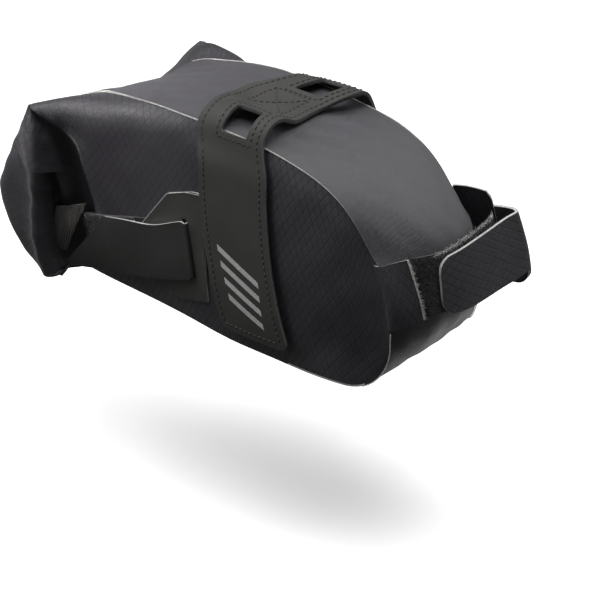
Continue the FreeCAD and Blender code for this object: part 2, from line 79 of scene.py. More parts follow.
def weights(knots, at):
    """Matrix that takes values at the knots to a natural cubic spline's values at other places."""
    knots = np.asarray(knots, float)
    at = np.atleast_1d(np.asarray(at, float))
    count = len(knots)
    gap = np.maximum(np.diff(knots), 1e-6)
    left, right = np.eye(count), np.zeros((count, count))
    for i in range(1, count - 1):
        left[i, i - 1:i + 2] = gap[i - 1], 2 * (gap[i - 1] + gap[i]), gap[i]
        right[i, i - 1:i + 2] = 6 / gap[i - 1], -6 / gap[i - 1] - 6 / gap[i], 6 / gap[i]
    bend = np.linalg.solve(left, right)
    i = np.clip(np.searchsorted(knots, at, side="right") - 1, 0, count - 2)
    width = gap[i]
    b = (at - knots[i]) / width
    a = 1 - b
    unit = np.eye(count)
    result = a[:, None] * unit[i] + b[:, None] * unit[i + 1]
    result += ((a ** 3 - a) * width ** 2 / 6)[:, None] * bend[i]
    return result + ((b ** 3 - b) * width ** 2 / 6)[:, None] * bend[i + 1]


def lengths(points):
    """Distance along a line of points, at each of them."""
    steps = np.linalg.norm(np.diff(np.asarray(points, float), axis=0), axis=1)
    return np.concatenate([[0], np.cumsum(steps)])


def curve(points, count):
    """Smooth curve through points, as that many points."""
    along = lengths(points)
    return weights(along, np.linspace(0, along[-1], count)) @ np.asarray(points, float)


def even(line, count):
    """Points at even distances along a dense line."""
    line = np.asarray(line, float)
    along = lengths(line)
    at = np.linspace(0, along[-1], count)
    return np.stack([np.interp(at, along, line[:, k]) for k in range(line.shape[1])], axis=1)


def chord(net, axis):
    """Mean distance along one axis of a net, at each of its lines."""
    steps = np.linalg.norm(np.diff(net, axis=axis), axis=-1).mean(axis=1 - axis)
    return np.concatenate([[0], np.cumsum(steps)])


def surface(net, rows, columns):
    """Smooth surface through a net of points, as a finer grid."""
    net = np.asarray(net, float)
    u, v = chord(net, 0), chord(net, 1)
    across = weights(u, np.linspace(0, u[-1], rows))
    along = weights(v, np.linspace(0, v[-1], columns))
    return np.einsum("ri,ijk,cj->rck", across, net, along)


def normals(grid):
    """Unit normals of a grid, pointing away from the bag's inside."""
    cross = np.cross(np.gradient(grid, axis=0), np.gradient(grid, axis=1))
    length = np.linalg.norm(cross, axis=-1, keepdims=True)
    return cross / np.maximum(length, 1e-9)


def smooth_step(low, high, value):
    """0 below low, 1 above high, and a smooth rise between them."""
    t = np.clip((value - low) / (high - low), 0, 1)
    return t * t * (3 - 2 * t)


# ---- the bag's form ----

# Right side from the rear crease to the nose: each row runs from the top seam down to the bottom seam
SIDE_NET = [
    [(-96, 28, -20), (-95.7, 55, -10.7), (-81.5, 48, -21.8), (-75.5, 46, -33), (-70, 43.5, -55),
     (-70, 41.5, -78), (-78, 37, -95.5)],
    [(-80, 30, -9.5), (-82, 45, -8.5), (-74, 47, -19), (-69, 45.5, -34), (-66, 43.5, -56), (-66, 42, -78),
     (-71, 37.2, -96)],
    [(-60, 30, -5.2), (-60, 38.5, -8.5), (-60, 42.5, -20), (-60, 43, -36), (-60, 42.5, -57), (-60, 41.5, -79),
     (-61, 37.4, -96.5)],
    [(-40, 30, -3.9), (-40, 34.5, -9), (-40, 38, -21), (-40, 40.5, -38), (-40, 41.5, -58), (-40, 41.5, -80),
     (-40, 38.8, -96.5)],
    [(-15, 30, -3.8), (-15, 33, -9.5), (-15, 36, -22), (-15, 39, -40), (-15, 41.5, -60), (-15, 43, -80),
     (-15, 41.3, -96.5)],
    [(10, 30, -4.4), (10, 33, -11), (10, 36, -24), (10, 39.3, -42), (10, 42.3, -62), (10, 44.3, -81),
     (10, 44.3, -96.5)],
    [(35, 30, -8), (35, 33, -15), (35, 36, -28), (35, 39.5, -45), (35, 42.5, -63), (35, 44.6, -81),
     (35, 44.6, -96.5)],
    [(55, 30, -14.8), (55, 32.6, -22), (55, 35.2, -34), (55, 38.2, -49), (55, 40.8, -65), (55, 42.6, -82),
     (55, 44.2, -96.8)],
    [(68, 30, -25.5), (68, 32, -32), (68, 34.2, -42), (68, 36.4, -54), (68, 38.4, -68), (68, 39.6, -82),
     (69, 42.6, -96.9)],
    [(77, 30, -37), (77, 31.6, -42), (77, 33.2, -50), (77, 34.6, -60), (77, 35.8, -71), (77, 36.6, -82),
     (77.5, 39.6, -96.4)],
    [(84, 31, -45), (84, 32, -50), (84, 33, -57), (84, 34, -65), (84, 34.6, -74), (84, 35.2, -83),
     (84, 36, -92)],
    [(88, 33, -55), (88, 33.3, -59), (88, 33.7, -64), (88, 34, -70), (88, 34.1, -76), (88, 34.1, -80),
     (88, 34, -84)],
    [(89.6, 33.8, -65), (89.6, 33.8, -67), (89.6, 33.9, -69), (89.6, 34, -71), (89.6, 34, -73),
     (89.6, 34, -75), (89.6, 34, -77)],
]

# Middle of the top, the front and the underside: (forward, up) abreast of each station of the right seam,
# from the rear crease over the nose and back along the floor
TOP_MIDDLE = [(-96, -25.5), (-80, -13), (-60, -5.5), (-40, -3), (-15, -2.8), (10, -3.4), (38, -5.5),
              (62, -11.5), (82, -22.5), (95.5, -36.5), (98.3, -47), (99.2, -57), (98.6, -66)]
FLOOR_MIDDLE = [(95.8, -77), (90.8, -85.5), (84.9, -92.2), (77, -96.2), (68, -96.5), (55, -96.5), (35, -96.5),
                (10, -96.5), (-15, -96.5), (-40, -96.5), (-60, -96.5), (-71, -96.5), (-82, -95.5)]

side_grid = surface(SIDE_NET, 170, 60)
skin_rows = side_grid[(side_grid[:, 3, 0] > -60) & (side_grid[:, 3, 0] < 80)]
skin_x = skin_rows[:, :, 0].mean(axis=1)


def skin(x, z):
    """How far out the side fabric lies at a place on the side. Behind the bulge it carries on straight."""
    x = np.clip(x, skin_x[0], skin_x[-1])
    i = np.clip(np.searchsorted(skin_x, x) - 1, 0, len(skin_x) - 2)
    outs = np.array([[np.interp(-height, -skin_rows[k][:, 2], skin_rows[k][:, 1]) for k in (a, a + 1)]
                     for a, height in zip(i, z)])
    t = (x - skin_x[i]) / (skin_x[i + 1] - skin_x[i])
    return outs[:, 0] * (1 - t) + outs[:, 1] * t


def on_skin(places, out):
    """Points at a distance out from the side fabric: places are (forward, up)."""
    places = np.asarray(places, float)
    x, z = places[..., 0].ravel(), places[..., 1].ravel()
    out = np.broadcast_to(out, places.shape[:-1]).ravel()
    step = 1.5
    slope_x = (skin(x + step, z) - skin(x - step, z)) / (2 * step)
    slope_z = (skin(x, z + step) - skin(x, z - step)) / (2 * step)
    normal = np.stack([-slope_x, np.ones_like(x), -slope_z], axis=1)
    normal /= np.linalg.norm(normal, axis=1, keepdims=True)
    points = np.stack([x, skin(x, z), z], axis=1) + normal * out[:, None]
    return points.reshape(places.shape[:-1] + (3,))


def twisted(points):
    """The bag isn't quite even: its far rear corner hangs lower and further forward than the near one."""
    x, y, z = points.T
    height = np.clip((z + 96.5) / 80, 0, 1)                 # 0 at the floor, 1 near the top
    far = smooth_step(-30, 35, y)                           # 0 on the near side, 1 on the far one
    rear = np.clip((-20 - x) / 60, 0, 1.4) ** 1.2           # 0 from the strap forward, and more to the rear
    brow = 1.2 * smooth_step(20, 45, x) * (1 - smooth_step(70, 92, x))
    bulge = 5.5 * smooth_step(30, 42, y) * smooth_step(-28, -58, x) * (1 - 0.65 * smooth_step(-74, -96, x))
    result = points.copy()
    result[:, 0] += 3.6 * rear * height * far
    result[:, 1] -= 4.5 * smooth_step(68, 86, x) * smooth_step(18, 34, y) * smooth_step(-66, -84, z)
    result[:, 2] += (brow + bulge - 8.6 * rear) * height * far
    return result


# ---- meshes ----

class Build:
    """Collects vertices, faces, cloth coordinates and material numbers for one mesh."""

    def __init__(self):
        self.points, self.uvs, self.faces, self.numbers = [], [], [], []
        self.count = 0
        self.cut = None

    def add(self, points, faces, uvs=None, number=0):
        points = np.asarray(points, float).reshape(-1, 3)
        uvs = np.zeros((len(points), 2)) if uvs is None else np.asarray(uvs, float).reshape(-1, 2)
        self.points.append(points)
        self.uvs.append(uvs)
        self.faces += [tuple(index + self.count for index in face) for face in faces]
        self.numbers += list(number) if hasattr(number, "__len__") else [number] * len(faces)
        self.count += len(points)

    def slab(self, grid, thickness, present=None):
        """Sheet with thickness: the grid is its outer surface. Cells that aren't present are openings.
        Its faces have the first material, and its rim the second."""
        grid = np.asarray(grid, float)
        normal = normals(grid)
        if np.sum(normal * (grid - INSIDE)) < 0:
            grid = grid[:, ::-1]
            present = None if present is None else present[:, ::-1]
            normal = normals(grid)
        rows, columns = grid.shape[:2]
        if present is None:
            present = np.ones((rows - 1, columns - 1), bool)
        inner = grid - normal * thickness
        steps = [np.linalg.norm(np.diff(grid, axis=way), axis=2) for way in (0, 1)]
        along = np.concatenate([np.zeros((1, columns)), np.cumsum(steps[0], 0)])
        across = np.concatenate([np.zeros((rows, 1)), np.cumsum(steps[1], 1)], 1)
        width, length = across[:, -1].max(), along[-1].max()
        sides = np.diff(grid[:, :-1], axis=0), np.diff(grid[:-1], axis=1)
        area = np.linalg.norm(np.cross(*sides), axis=-1)[present].sum()
        self.cut = (width * MM, length * MM, area * MM * MM)
        across -= across[:, columns // 2][:, None]
        along -= along[rows * 3 // 5]
        uv = np.stack([along, across], axis=2)
        size = rows * columns
        faces, numbers = [], []
        for i in range(rows - 1):
            for j in range(columns - 1):
                if not present[i, j]:
                    continue
                a, b = i * columns + j, (i + 1) * columns + j
                c, d = b + 1, a + 1
                faces += [(a, b, c, d), (d + size, c + size, b + size, a + size)]
                numbers += [0, 0]
                beside = (((a, b), i, j - 1), ((b, c), i + 1, j), ((c, d), i, j + 1), ((d, a), i - 1, j))
                for (p, q), k, m in beside:
                    if not (0 <= k < rows - 1 and 0 <= m < columns - 1 and present[k, m]):
                        faces.append((q, p, p + size, q + size))
                        numbers.append(1)
        points = np.concatenate([grid.reshape(-1, 3), inner.reshape(-1, 3)])
        self.add(points, faces, np.concatenate([uv.reshape(-1, 2)] * 2), numbers)

    def tube(self, path, radius, sides=8, number=0, up=None):
        """Round tube along a line. A list of radii gives each point its own."""
        path = np.asarray(path, float)
        radii = np.broadcast_to(radius, len(path))
        tangent = np.gradient(path, axis=0)
        tangent /= np.maximum(np.linalg.norm(tangent, axis=1, keepdims=True), 1e-9)
        guide = np.array([0.0, 0.0, 1.0]) if up is None else np.asarray(up, float)
        if up is None and abs(tangent[0] @ guide) > 0.9:
            guide = np.array([1.0, 0.0, 0.0])
        rings, uvs = [], []
        along = lengths(path)
        for i, point in enumerate(path):
            lead = guide if guide.ndim == 1 else guide[i]
            lead = lead - tangent[i] * (lead @ tangent[i])
            lead = lead / max(np.linalg.norm(lead), 1e-9)
            if guide.ndim == 1:
                guide = lead
            side = np.cross(tangent[i], lead)
            for k in range(sides):
                turn = 2 * math.pi * k / sides
                offset = side * math.cos(turn) + lead * math.sin(turn)
                rings.append(point + offset * radii[i])
                uvs.append((along[i], turn * radii[i]))
        faces = []
        for i in range(len(path) - 1):
            for k in range(sides):
                a, b = i * sides + k, i * sides + (k + 1) % sides
                faces.append((a, b, b + sides, a + sides))
        last = (len(path) - 1) * sides
        faces.append(tuple(range(sides))[::-1])
        faces.append(tuple(last + k for k in range(sides)))
        self.add(rings, faces, uvs, number)

    def stitches(self, path, normal, pitch=2.7, length=1.75, radius=0.27):
        """Row of threads along a line on a surface. Each dips in at both ends."""
        path, normal = np.asarray(path, float), np.asarray(normal, float)
        along = lengths(path)
        at = 0.4
        while at + length < along[-1]:
            spots = at + length * np.array([0, 0.2, 0.5, 0.8, 1.0])
            points = np.stack([np.interp(spots, along, path[:, k]) for k in range(3)], axis=1)
            lead = np.stack([np.interp(spots, along, normal[:, k]) for k in range(3)], axis=1)
            lift = np.array([-0.22, 0.08, 0.16, 0.08, -0.22])[:, None]
            self.tube(points + lead * lift, radius * np.array([0.7, 1, 1, 1, 0.7]), 6, up=lead)
            at += pitch * random.uniform(0.97, 1.03)


def make(name, build, side, materials, body, slot, replaced=(), across=None, held=None, rests=()):
    """Turns a build into a piece. Points are (forward, outward, up) in millimetres for a side, else the
    frame's. How a piece of cloth is held, and what it rests on, are given but not used."""
    points = np.concatenate(build.points)
    if side:
        points = points * np.array([1, -side, 1])
    points = twisted(points)
    faces = build.faces
    if side == RIGHT:
        faces = [face[::-1] for face in faces]
    mesh = bpy.data.meshes.new(name)
    mesh.from_pydata((points * MM).tolist(), [], faces)
    cloth = mesh.uv_layers.new(name="cloth")
    uvs = np.concatenate(build.uvs) * MM
    corner = np.array([vertex for face in faces for vertex in face])
    cloth.data.foreach_set("uv", uvs[corner].ravel())
    for material in materials:
        mesh.materials.append(material)
    mesh.polygons.foreach_set("material_index", build.numbers)
    mesh.polygons.foreach_set("use_smooth", [True] * len(faces))
    mesh.update()
    piece = bpy.data.objects.new(name, mesh)
    bpy.context.scene.collection.objects.link(piece)
    clean(piece)
    if across:
        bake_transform(piece)
    else:
        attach(piece, body)
    if replaced:
        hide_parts(*replaced)
    return piece


def lay(name, grid, thickness, *rest, present=None):
    """Makes one sheet into a piece. The rest is what make needs after the build."""
    build = Build()
    build.slab(grid, thickness, present)
    return make(name, build, *rest)


def clean(piece):
    """Drops unused points and faces with no area, and keeps edges crisp between a face and its rim."""
    form = bmesh.new()
    form.from_mesh(piece.data)
    bmesh.ops.delete(form, geom=[v for v in form.verts if not v.link_faces], context="VERTS")
    bmesh.ops.dissolve_degenerate(form, dist=1e-6, edges=form.edges)
    for edge in form.edges:
        if len(edge.link_faces) == 2 and edge.calc_face_angle(0) > 0.9:
            edge.smooth = False
    form.to_mesh(piece.data)
    form.free()


# ---- materials ----

class Paint:
    """A material and short names for the nodes that its pattern needs."""

    def __init__(self, name, **sockets):
        self.material = bpy.data.materials.new(name)
        self.material.use_nodes = True
        self.tree = self.material.node_tree
        self.shader = self.tree.nodes["Principled BSDF"]
        for key, value in sockets.items():
            self.shader.inputs[key.replace("_", " ")].default_value = value

    def node(self, kind, **settings):
        node = self.tree.nodes.new(kind)
        for key, value in settings.items():
            if key in node.inputs:
                node.inputs[key].default_value = value
            else:
                setattr(node, key, value)
        return node

    def link(self, value, socket):
        if hasattr(value, "is_output"):
            self.tree.links.new(value, socket)
        else:
            socket.default_value = value

    def maths(self, operation, *values):
        node = self.node("ShaderNodeMath", operation=operation)
        for value, socket in zip(values, node.inputs):
            self.link(value, socket)
        return node.outputs[0]

    def cloth(self):
        """Cloth coordinates in millimetres."""
        uv = self.node("ShaderNodeUVMap", uv_map="cloth")
        split = self.node("ShaderNodeSeparateXYZ")
        self.tree.links.new(uv.outputs[0], split.inputs[0])
        return [self.maths("MULTIPLY", split.outputs[k], 1000.0) for k in (0, 1)]

    def weave(self, pitch):
        """Plain weave: threads both ways, at so many radians a millimetre."""
        warp, weft = (self.maths("SINE", self.maths("MULTIPLY", way, pitch)) for way in self.cloth())
        return self.maths("MULTIPLY", warp, weft)

    def noise(self, scale, detail=3.0, roughness=0.55):
        node = self.node("ShaderNodeTexNoise", Scale=scale, Detail=detail, Roughness=roughness)
        place = self.node("ShaderNodeTexCoord").outputs["Object"]
        self.tree.links.new(place, node.inputs["Vector"])
        return node.outputs["Fac"]

    def ramp(self, value, low, high, start=0.0, end=1.0):
        """Smooth step of a value between two limits, from start to end."""
        node = self.node("ShaderNodeMapRange", interpolation_type="SMOOTHSTEP")
        for socket, amount in zip(node.inputs, (value, low, high, start, end)):
            self.link(amount, socket)
        return node.outputs[0]

    def lines(self, value, width):
        """1 on the lines where a value is whole, 0 between them."""
        return self.ramp(self.maths("PINGPONG", value, 0.5), 0.0, width, 1.0, 0.0)

    def mix(self, factor, first, second):
        node = self.node("ShaderNodeMix", data_type="RGBA")
        self.link(factor, node.inputs["Factor"])
        for colour, socket in ((first, node.inputs[6]), (second, node.inputs[7])):
            self.link(colour if hasattr(colour, "is_output") else (*colour, 1.0), socket)
        return node.outputs[2]

    def bump(self, height, distance, strength=1.0, after=None):
        """Normal of a height, at most so many millimetres high, on top of another normal."""
        node = self.node("ShaderNodeBump", Strength=strength, Distance=distance * MM)
        self.link(height, node.inputs["Height"])
        if after is not None:
            self.tree.links.new(after, node.inputs["Normal"])
        return node.outputs[0]

    def finish(self, colour, roughness, normal):
        """Links the results to the shader, and gives the material."""
        for result, socket in ((colour, "Base Color"), (roughness, "Roughness"), (normal, "Normal")):
            if result is not None:
                self.link(result, self.shader.inputs[socket])
        return self.material


def ripstop(name, base, dark, wide=3.7, tall=6.6, sheen=0.12, contrast=0.9):
    """Coated ripstop: a fine plain weave under a diamond grid of darker cords."""
    paint = Paint(name, Sheen_Weight=sheen, Sheen_Roughness=0.35, Specular_IOR_Level=0.42)
    u, v = paint.cloth()
    across, along = paint.maths("DIVIDE", u, wide), paint.maths("DIVIDE", v, tall)
    first = paint.lines(paint.maths("ADD", across, along), 0.11)
    second = paint.lines(paint.maths("SUBTRACT", across, along), 0.11)
    grid = paint.maths("MAXIMUM", first, second)
    cloudy = paint.noise(45.0)
    grain = paint.noise(900.0, 2.0)
    shade = paint.mix(paint.ramp(cloudy, 0.35, 0.7), base, tuple(c * 1.35 for c in base))
    colour = paint.mix(paint.maths("MULTIPLY", grid, contrast), shade, dark)
    threads = paint.maths("MULTIPLY", paint.weave(14.0), 0.22)
    height = paint.maths("ADD", paint.maths("MULTIPLY", grid, -0.9), threads)
    normal = paint.bump(height, 0.09)
    normal = paint.bump(grain, 0.12, 0.6, normal)
    normal = paint.bump(paint.noise(110.0, 2.0), 0.55, 0.5, normal)
    cords = paint.maths("MULTIPLY", grid, 0.25 * contrast)
    return paint.finish(colour, paint.maths("ADD", paint.ramp(grain, 0.2, 0.8, 0.40, 0.52), cords), normal)


def plain_weave(name, base, light):
    """Coated plain weave with a soft sheen."""
    paint = Paint(name, Sheen_Weight=0.08, Sheen_Roughness=0.4, Specular_IOR_Level=0.42)
    grain = paint.noise(650.0, 3.0)
    colour = paint.mix(paint.ramp(grain, 0.3, 0.75), base, light)
    normal = paint.bump(paint.weave(9.0), 0.05)
    normal = paint.bump(grain, 0.10, 0.7, normal)
    normal = paint.bump(paint.noise(90.0, 2.0), 0.5, 0.4, normal)
    return paint.finish(colour, paint.ramp(grain, 0.2, 0.8, 0.42, 0.56), normal)


def rubber(name, base, light, rough=(0.5, 0.68), grain_depth=0.05, cord=0.0):
    """Rubber-coated sheet: fine calendered grain, faint smears and dust."""
    paint = Paint(name, Specular_IOR_Level=0.42)
    grain = paint.noise(2600.0, 2.0)
    smear = paint.noise(60.0, 4.0, 0.65)
    dust = paint.ramp(paint.noise(420.0, 4.0, 0.7), 0.62, 0.8)
    colour = paint.mix(paint.ramp(smear, 0.35, 0.7), base, light)
    colour = paint.mix(paint.maths("MULTIPLY", dust, 0.25), colour, tuple(c * 2.2 for c in light))
    normal = paint.bump(grain, grain_depth)
    if cord:
        normal = paint.bump(paint.weave(8.0), cord, 1.0, normal)
    normal = paint.bump(smear, 0.3, 0.35, normal)
    return paint.finish(colour, paint.ramp(smear, 0.3, 0.7, *rough), normal)


def speckled(name, base, light, noise, spread, shine, height, **sockets):
    """Material whose colour, gloss and height all follow one fine noise."""
    paint = Paint(name, **sockets)
    speck = paint.noise(*noise)
    colour = paint.mix(paint.ramp(speck, *spread), base, light)
    return paint.finish(colour, paint.ramp(speck, *shine) if shine else None, paint.bump(speck, height))


def edge_band(name, base, light):
    """Cut edge of a coated sheet: pale core with loose fibres."""
    return speckled(name, base, light, (1500.0, 4.0, 0.7), (0.3, 0.7), None, 0.25, Specular_IOR_Level=0.25,
                    Roughness=0.85)


def pile_cloth(name, base, light):
    """Backing of loop pile, and its fibres."""
    return speckled(name, base, light, (1400.0, 5.0, 0.75), (0.35, 0.7), (0.2, 0.8, 0.7, 0.95), 0.4,
                    Sheen_Weight=0.3, Sheen_Roughness=0.5, Specular_IOR_Level=0.25)


def webbing_cloth(name):
    """Elastic webbing: upright ribs of pale and dark threads."""
    paint = Paint(name, Sheen_Weight=0.15, Specular_IOR_Level=0.3)
    u, v = paint.cloth()
    rib = paint.maths("PINGPONG", paint.maths("DIVIDE", u, 1.15), 0.5)
    pick = paint.maths("PINGPONG", paint.maths("DIVIDE", v, 0.7), 0.5)
    pale = paint.maths("MULTIPLY", paint.ramp(rib, 0.30, 0.48), paint.ramp(pick, 0.05, 0.3, 0.45, 1.0))
    fuzz = paint.noise(1800.0, 3.0)
    tan = paint.mix(paint.ramp(fuzz, 0.3, 0.7), (0.05, 0.043, 0.036), (0.13, 0.113, 0.095))
    colour = paint.mix(pale, (0.012, 0.011, 0.011), tan)
    height = paint.maths("ADD", rib, paint.maths("MULTIPLY", pick, 0.5))
    return paint.finish(colour, paint.ramp(fuzz, 0.2, 0.8, 0.6, 0.85), paint.bump(height, 0.35))


def thread(name, base, light):
    """Bonded thread with a twist."""
    paint = Paint(name, Specular_IOR_Level=0.45)
    u, v = paint.cloth()
    twist = paint.maths("PINGPONG", paint.maths("ADD", paint.maths("MULTIPLY", u, 1.6), v), 0.5)
    colour = paint.mix(paint.ramp(twist, 0.1, 0.45), base, light)
    return paint.finish(colour, paint.ramp(twist, 0.0, 0.5, 0.62, 0.42), paint.bump(twist, 0.12))


SIDE_CLOTH = ripstop("side_ripstop", (0.014, 0.0125, 0.016), (0.002, 0.002, 0.003))
POST_CLOTH = ripstop("post_strap_ripstop", (0.026, 0.0245, 0.029), (0.003, 0.003, 0.004), wide=6.4, tall=4.4)
REAR_CLOTH = ripstop("closure_ripstop", (0.014, 0.0125, 0.016), (0.005, 0.005, 0.006), contrast=0.5)
TOP_CLOTH = plain_weave("top_weave", (0.030, 0.0285, 0.033), (0.044, 0.042, 0.048))
BASE_CLOTH = rubber("base_coated_cloth", (0.012, 0.0115, 0.012), (0.017, 0.0165, 0.017), cord=0.03)
HYPALON = rubber("strap_rubber", (0.018, 0.0176, 0.0162), (0.026, 0.0253, 0.0236), rough=(0.66, 0.84),
                 grain_depth=0.09)
CLOSURE_RUBBER = rubber("closure_rubber", (0.011, 0.0105, 0.010), (0.015, 0.0145, 0.014), rough=(0.5, 0.65))
LINING = plain_weave("backing_cloth", (0.02, 0.02, 0.022), (0.032, 0.032, 0.034))
PALE_EDGE = edge_band("pale_cut_edge", (0.22, 0.215, 0.21), (0.50, 0.49, 0.48))
GREY_EDGE = edge_band("grey_cut_edge", (0.045, 0.044, 0.043), (0.10, 0.098, 0.095))
WEBBING = webbing_cloth("elastic_webbing")
PILE = pile_cloth("loop_pile", (0.004, 0.004, 0.0045), (0.016, 0.016, 0.0165))
HOOKS = pile_cloth("hook_tape", (0.012, 0.012, 0.012), (0.035, 0.035, 0.035))
THREAD = thread("black_thread", (0.006, 0.006, 0.006), (0.02, 0.02, 0.02))
MARK = speckled("reflective_film", (0.30, 0.30, 0.30), (0.46, 0.46, 0.46), (3000.0, 2.0), (0.35, 0.65),
                (0.3, 0.7, 0.32, 0.5), 0.03, Metallic=0.25, Specular_IOR_Level=0.6)
BOARD = speckled("stiffener_sheet", (0.05, 0.05, 0.052), (0.08, 0.08, 0.082), (500.0, 5.0, 0.7), (0.4, 0.75),
                 (0.3, 0.7, 0.42, 0.6), 0.05, Specular_IOR_Level=0.5)


# ---- shell ----

HINGES = {joint["name"]: joint["pos_m"] for joint in frame["record"]["behaviour"]["joints"]}
FOLD_START = (-0.079, 0.0, 0.0)         # start of the fold between the bag and the closure
FOLD_END = (-0.094, 0.0, 0.0)           # and its end; these places aren't read, and a piece given the fold is left unattached to any body
REAR_FOLD = ("bag", "closure", FOLD_START, FOLD_END)


def puckers(grid, depth, seed):
    """Soft unevenness of a fabric panel, fading to nothing at its edges."""
    rng = np.random.default_rng(seed)
    rows, columns = grid.shape[:2]
    u, v = np.meshgrid(np.linspace(0, 1, rows), np.linspace(0, 1, columns), indexing="ij")
    height = np.zeros((rows, columns))
    for _ in range(7):
        a, b = rng.uniform(-9, 9), rng.uniform(-5, 5)
        height += rng.uniform(0.3, 1) * np.sin(2 * math.pi * (a * u + b * v) + rng.uniform(0, 6.28))
    fade = np.clip(np.minimum(np.minimum(u, 1 - u), np.minimum(v, 1 - v)) * 9, 0, 1)
    return grid + normals(grid) * (height * fade * depth / 4)[:, :, None]


def shell():
    """Side panels, top panel, base panel, and the pale edges of their seams."""
    for side, word in SIDES:
        lay(f"side_cloth_{word}", puckers(side_grid, 0.5, 3 if side == RIGHT else 8), 0.9, side,
            [SIDE_CLOTH, GREY_EDGE], None, "side_fabric", [f"side_panel_{word}"], REAR_FOLD, "stretched")

    # the seam all round: top seam, front seam, bottom seam
    seam = np.concatenate([side_grid[:, 0], side_grid[-1, 1:], side_grid[::-1, -1][1:]])
    along = lengths(seam)
    near = [points[0] for points in SIDE_NET] + [points[-1] for points in SIDE_NET[::-1]]
    stations = [along[np.argmin(np.linalg.norm(seam - np.array(spot), axis=1))] for spot in near]
    middle = np.array(TOP_MIDDLE + FLOOR_MIDDLE)
    split = stations[9] + 3.4                               # lower edge of the top panel
    lap = 3.0
    for name, low, high, rows, lift, cloth, slot, node, across in (
        ("top_cloth", 0, split + lap, 110, 0.9, TOP_CLOTH, "top_fabric", "top_panel", REAR_FOLD),
        ("base_cloth", split - 1, along[-1], 150, 0.0, BASE_CLOTH, "base_fabric", "base_panel", None),
    ):
        at = np.linspace(low, high, rows)
        edge = np.stack([np.interp(at, along, seam[:, k]) for k in range(3)], axis=1)
        centre = weights(stations, at) @ middle
        t = np.linspace(-1, 1, 45)
        bow = np.abs(t) ** 2.2
        x = centre[:, :1] + (edge[:, :1] - centre[:, :1]) * bow
        z = centre[:, 1:] + (edge[:, 2:] - centre[:, 1:]) * bow
        grid = puckers(np.stack([x, edge[:, 1:2] * t, z], axis=-1), 0.5, 5)
        if lift:
            grid = grid + normals(grid) * lift * np.sign(normals(grid)[60, 22, 2])
        lay(name, grid, 0.9, 0, [cloth, PALE_EDGE], "bag", slot, [node], across, "stretched")

    for side, word in SIDES:
        build = Build()
        start = stations[3] - 8 if side == RIGHT else stations[1]
        part = (along > start) & (along < stations[9] + 4)
        lift = np.array([0, 0.2, 0.55]) if side == RIGHT else np.array([0, -0.5, 1.1])
        build.tube(even(seam[part] + lift, 90), 0.26, 6)
        part = (along > stations[12] + 3) & (along < stations[16])
        build.tube(even(seam[part] + np.array([0.3, 0.25, 0]), 50), 0.24, 6)
        make(f"seam_edge_{word}", build, side, [PALE_EDGE], "bag", "top_fabric", (), REAR_FOLD)


# Rear skin: rows by height, each from the side bulge through the valley, round the curl to the middle
REAR_NET = [
    [(-95.7, 55, -10.7), (-95.7, 55, -10.8), (-95.7, 55, -10.9), (-95.8, 55, -11), (-96, 55.1, -10.9),
     (-96.2, 55.1, -10.9), (-96.6, 54.6, -11.1), (-97, 53.4, -11.5), (-97, 47, -13.8), (-97, 26, -20.5),
     (-97, 0, -25.8)],
    [(-88, 51.6, -16.2), (-88.8, 50.8, -16.8), (-90, 51.0, -17.2), (-92.6, 54.2, -17.5), (-93.4, 54.2, -17.5),
     (-94, 55.2, -17.5), (-96.5, 55.6, -17.5), (-99.5, 54.2, -17.8), (-102, 49.5, -18.5), (-103.5, 27, -25.5),
     (-104, 0, -30.5)],
    [(-80.3, 47.3, -24), (-82.5, 44.2, -24.5), (-86, 44.8, -25), (-89.6, 53.6, -25.5), (-91, 53, -25.5),
     (-92, 55, -25.5), (-96, 56.3, -25.5), (-101, 55, -26), (-106.5, 50.3, -26.5), (-108.5, 27, -32),
     (-109, 0, -36)],
    [(-73.8, 45.1, -39), (-77.5, 40.5, -39.5), (-83, 40, -40), (-89.2, 49, -40.5), (-91.5, 48.5, -40.5),
     (-90, 53, -40.5), (-94.5, 57.3, -40.5), (-99.8, 54.8, -41), (-113, 50.8, -41.5), (-115, 27, -45),
     (-115.5, 0, -47)],
    [(-70, 43.5, -55), (-74, 38, -56), (-81, 37, -56.5), (-87.5, 44.5, -56.5), (-92.5, 44.5, -57),
     (-91.4, 50.4, -57), (-94.8, 57, -57), (-99.4, 54.2, -57.5), (-119, 50, -59), (-119.8, 27, -61),
     (-119.4, 0, -62)],
    [(-70, 42.6, -68), (-74, 37, -69), (-81, 35.5, -70), (-87.5, 40, -70), (-92.5, 43.5, -70),
     (-91.5, 50.1, -70), (-94.8, 56.9, -70), (-99.3, 54.1, -71), (-119, 49.6, -72),
     (-119.6, 27, -73), (-119.2, 0, -73)],
    [(-72, 40.5, -82), (-76, 36, -83), (-81, 35.2, -84), (-86.5, 38.5, -84), (-91, 43, -84),
     (-90.2, 49.8, -84), (-93.8, 56.3, -85), (-98.8, 53.5, -86), (-111.5, 49.4, -87.5),
     (-113.5, 27, -86.5), (-113.2, 0, -86.5)],
    [(-78, 37, -95.5), (-80, 36.2, -95.8), (-82.5, 36.5, -96), (-85.5, 40, -96.3), (-88.5, 43.5, -96.6),
     (-87.4, 49, -96.8), (-91.4, 53.6, -97.4), (-96, 51.5, -98), (-101.5, 46.5, -98.8), (-104.5, 27, -97.2),
     (-105, 0, -96.6)],
]

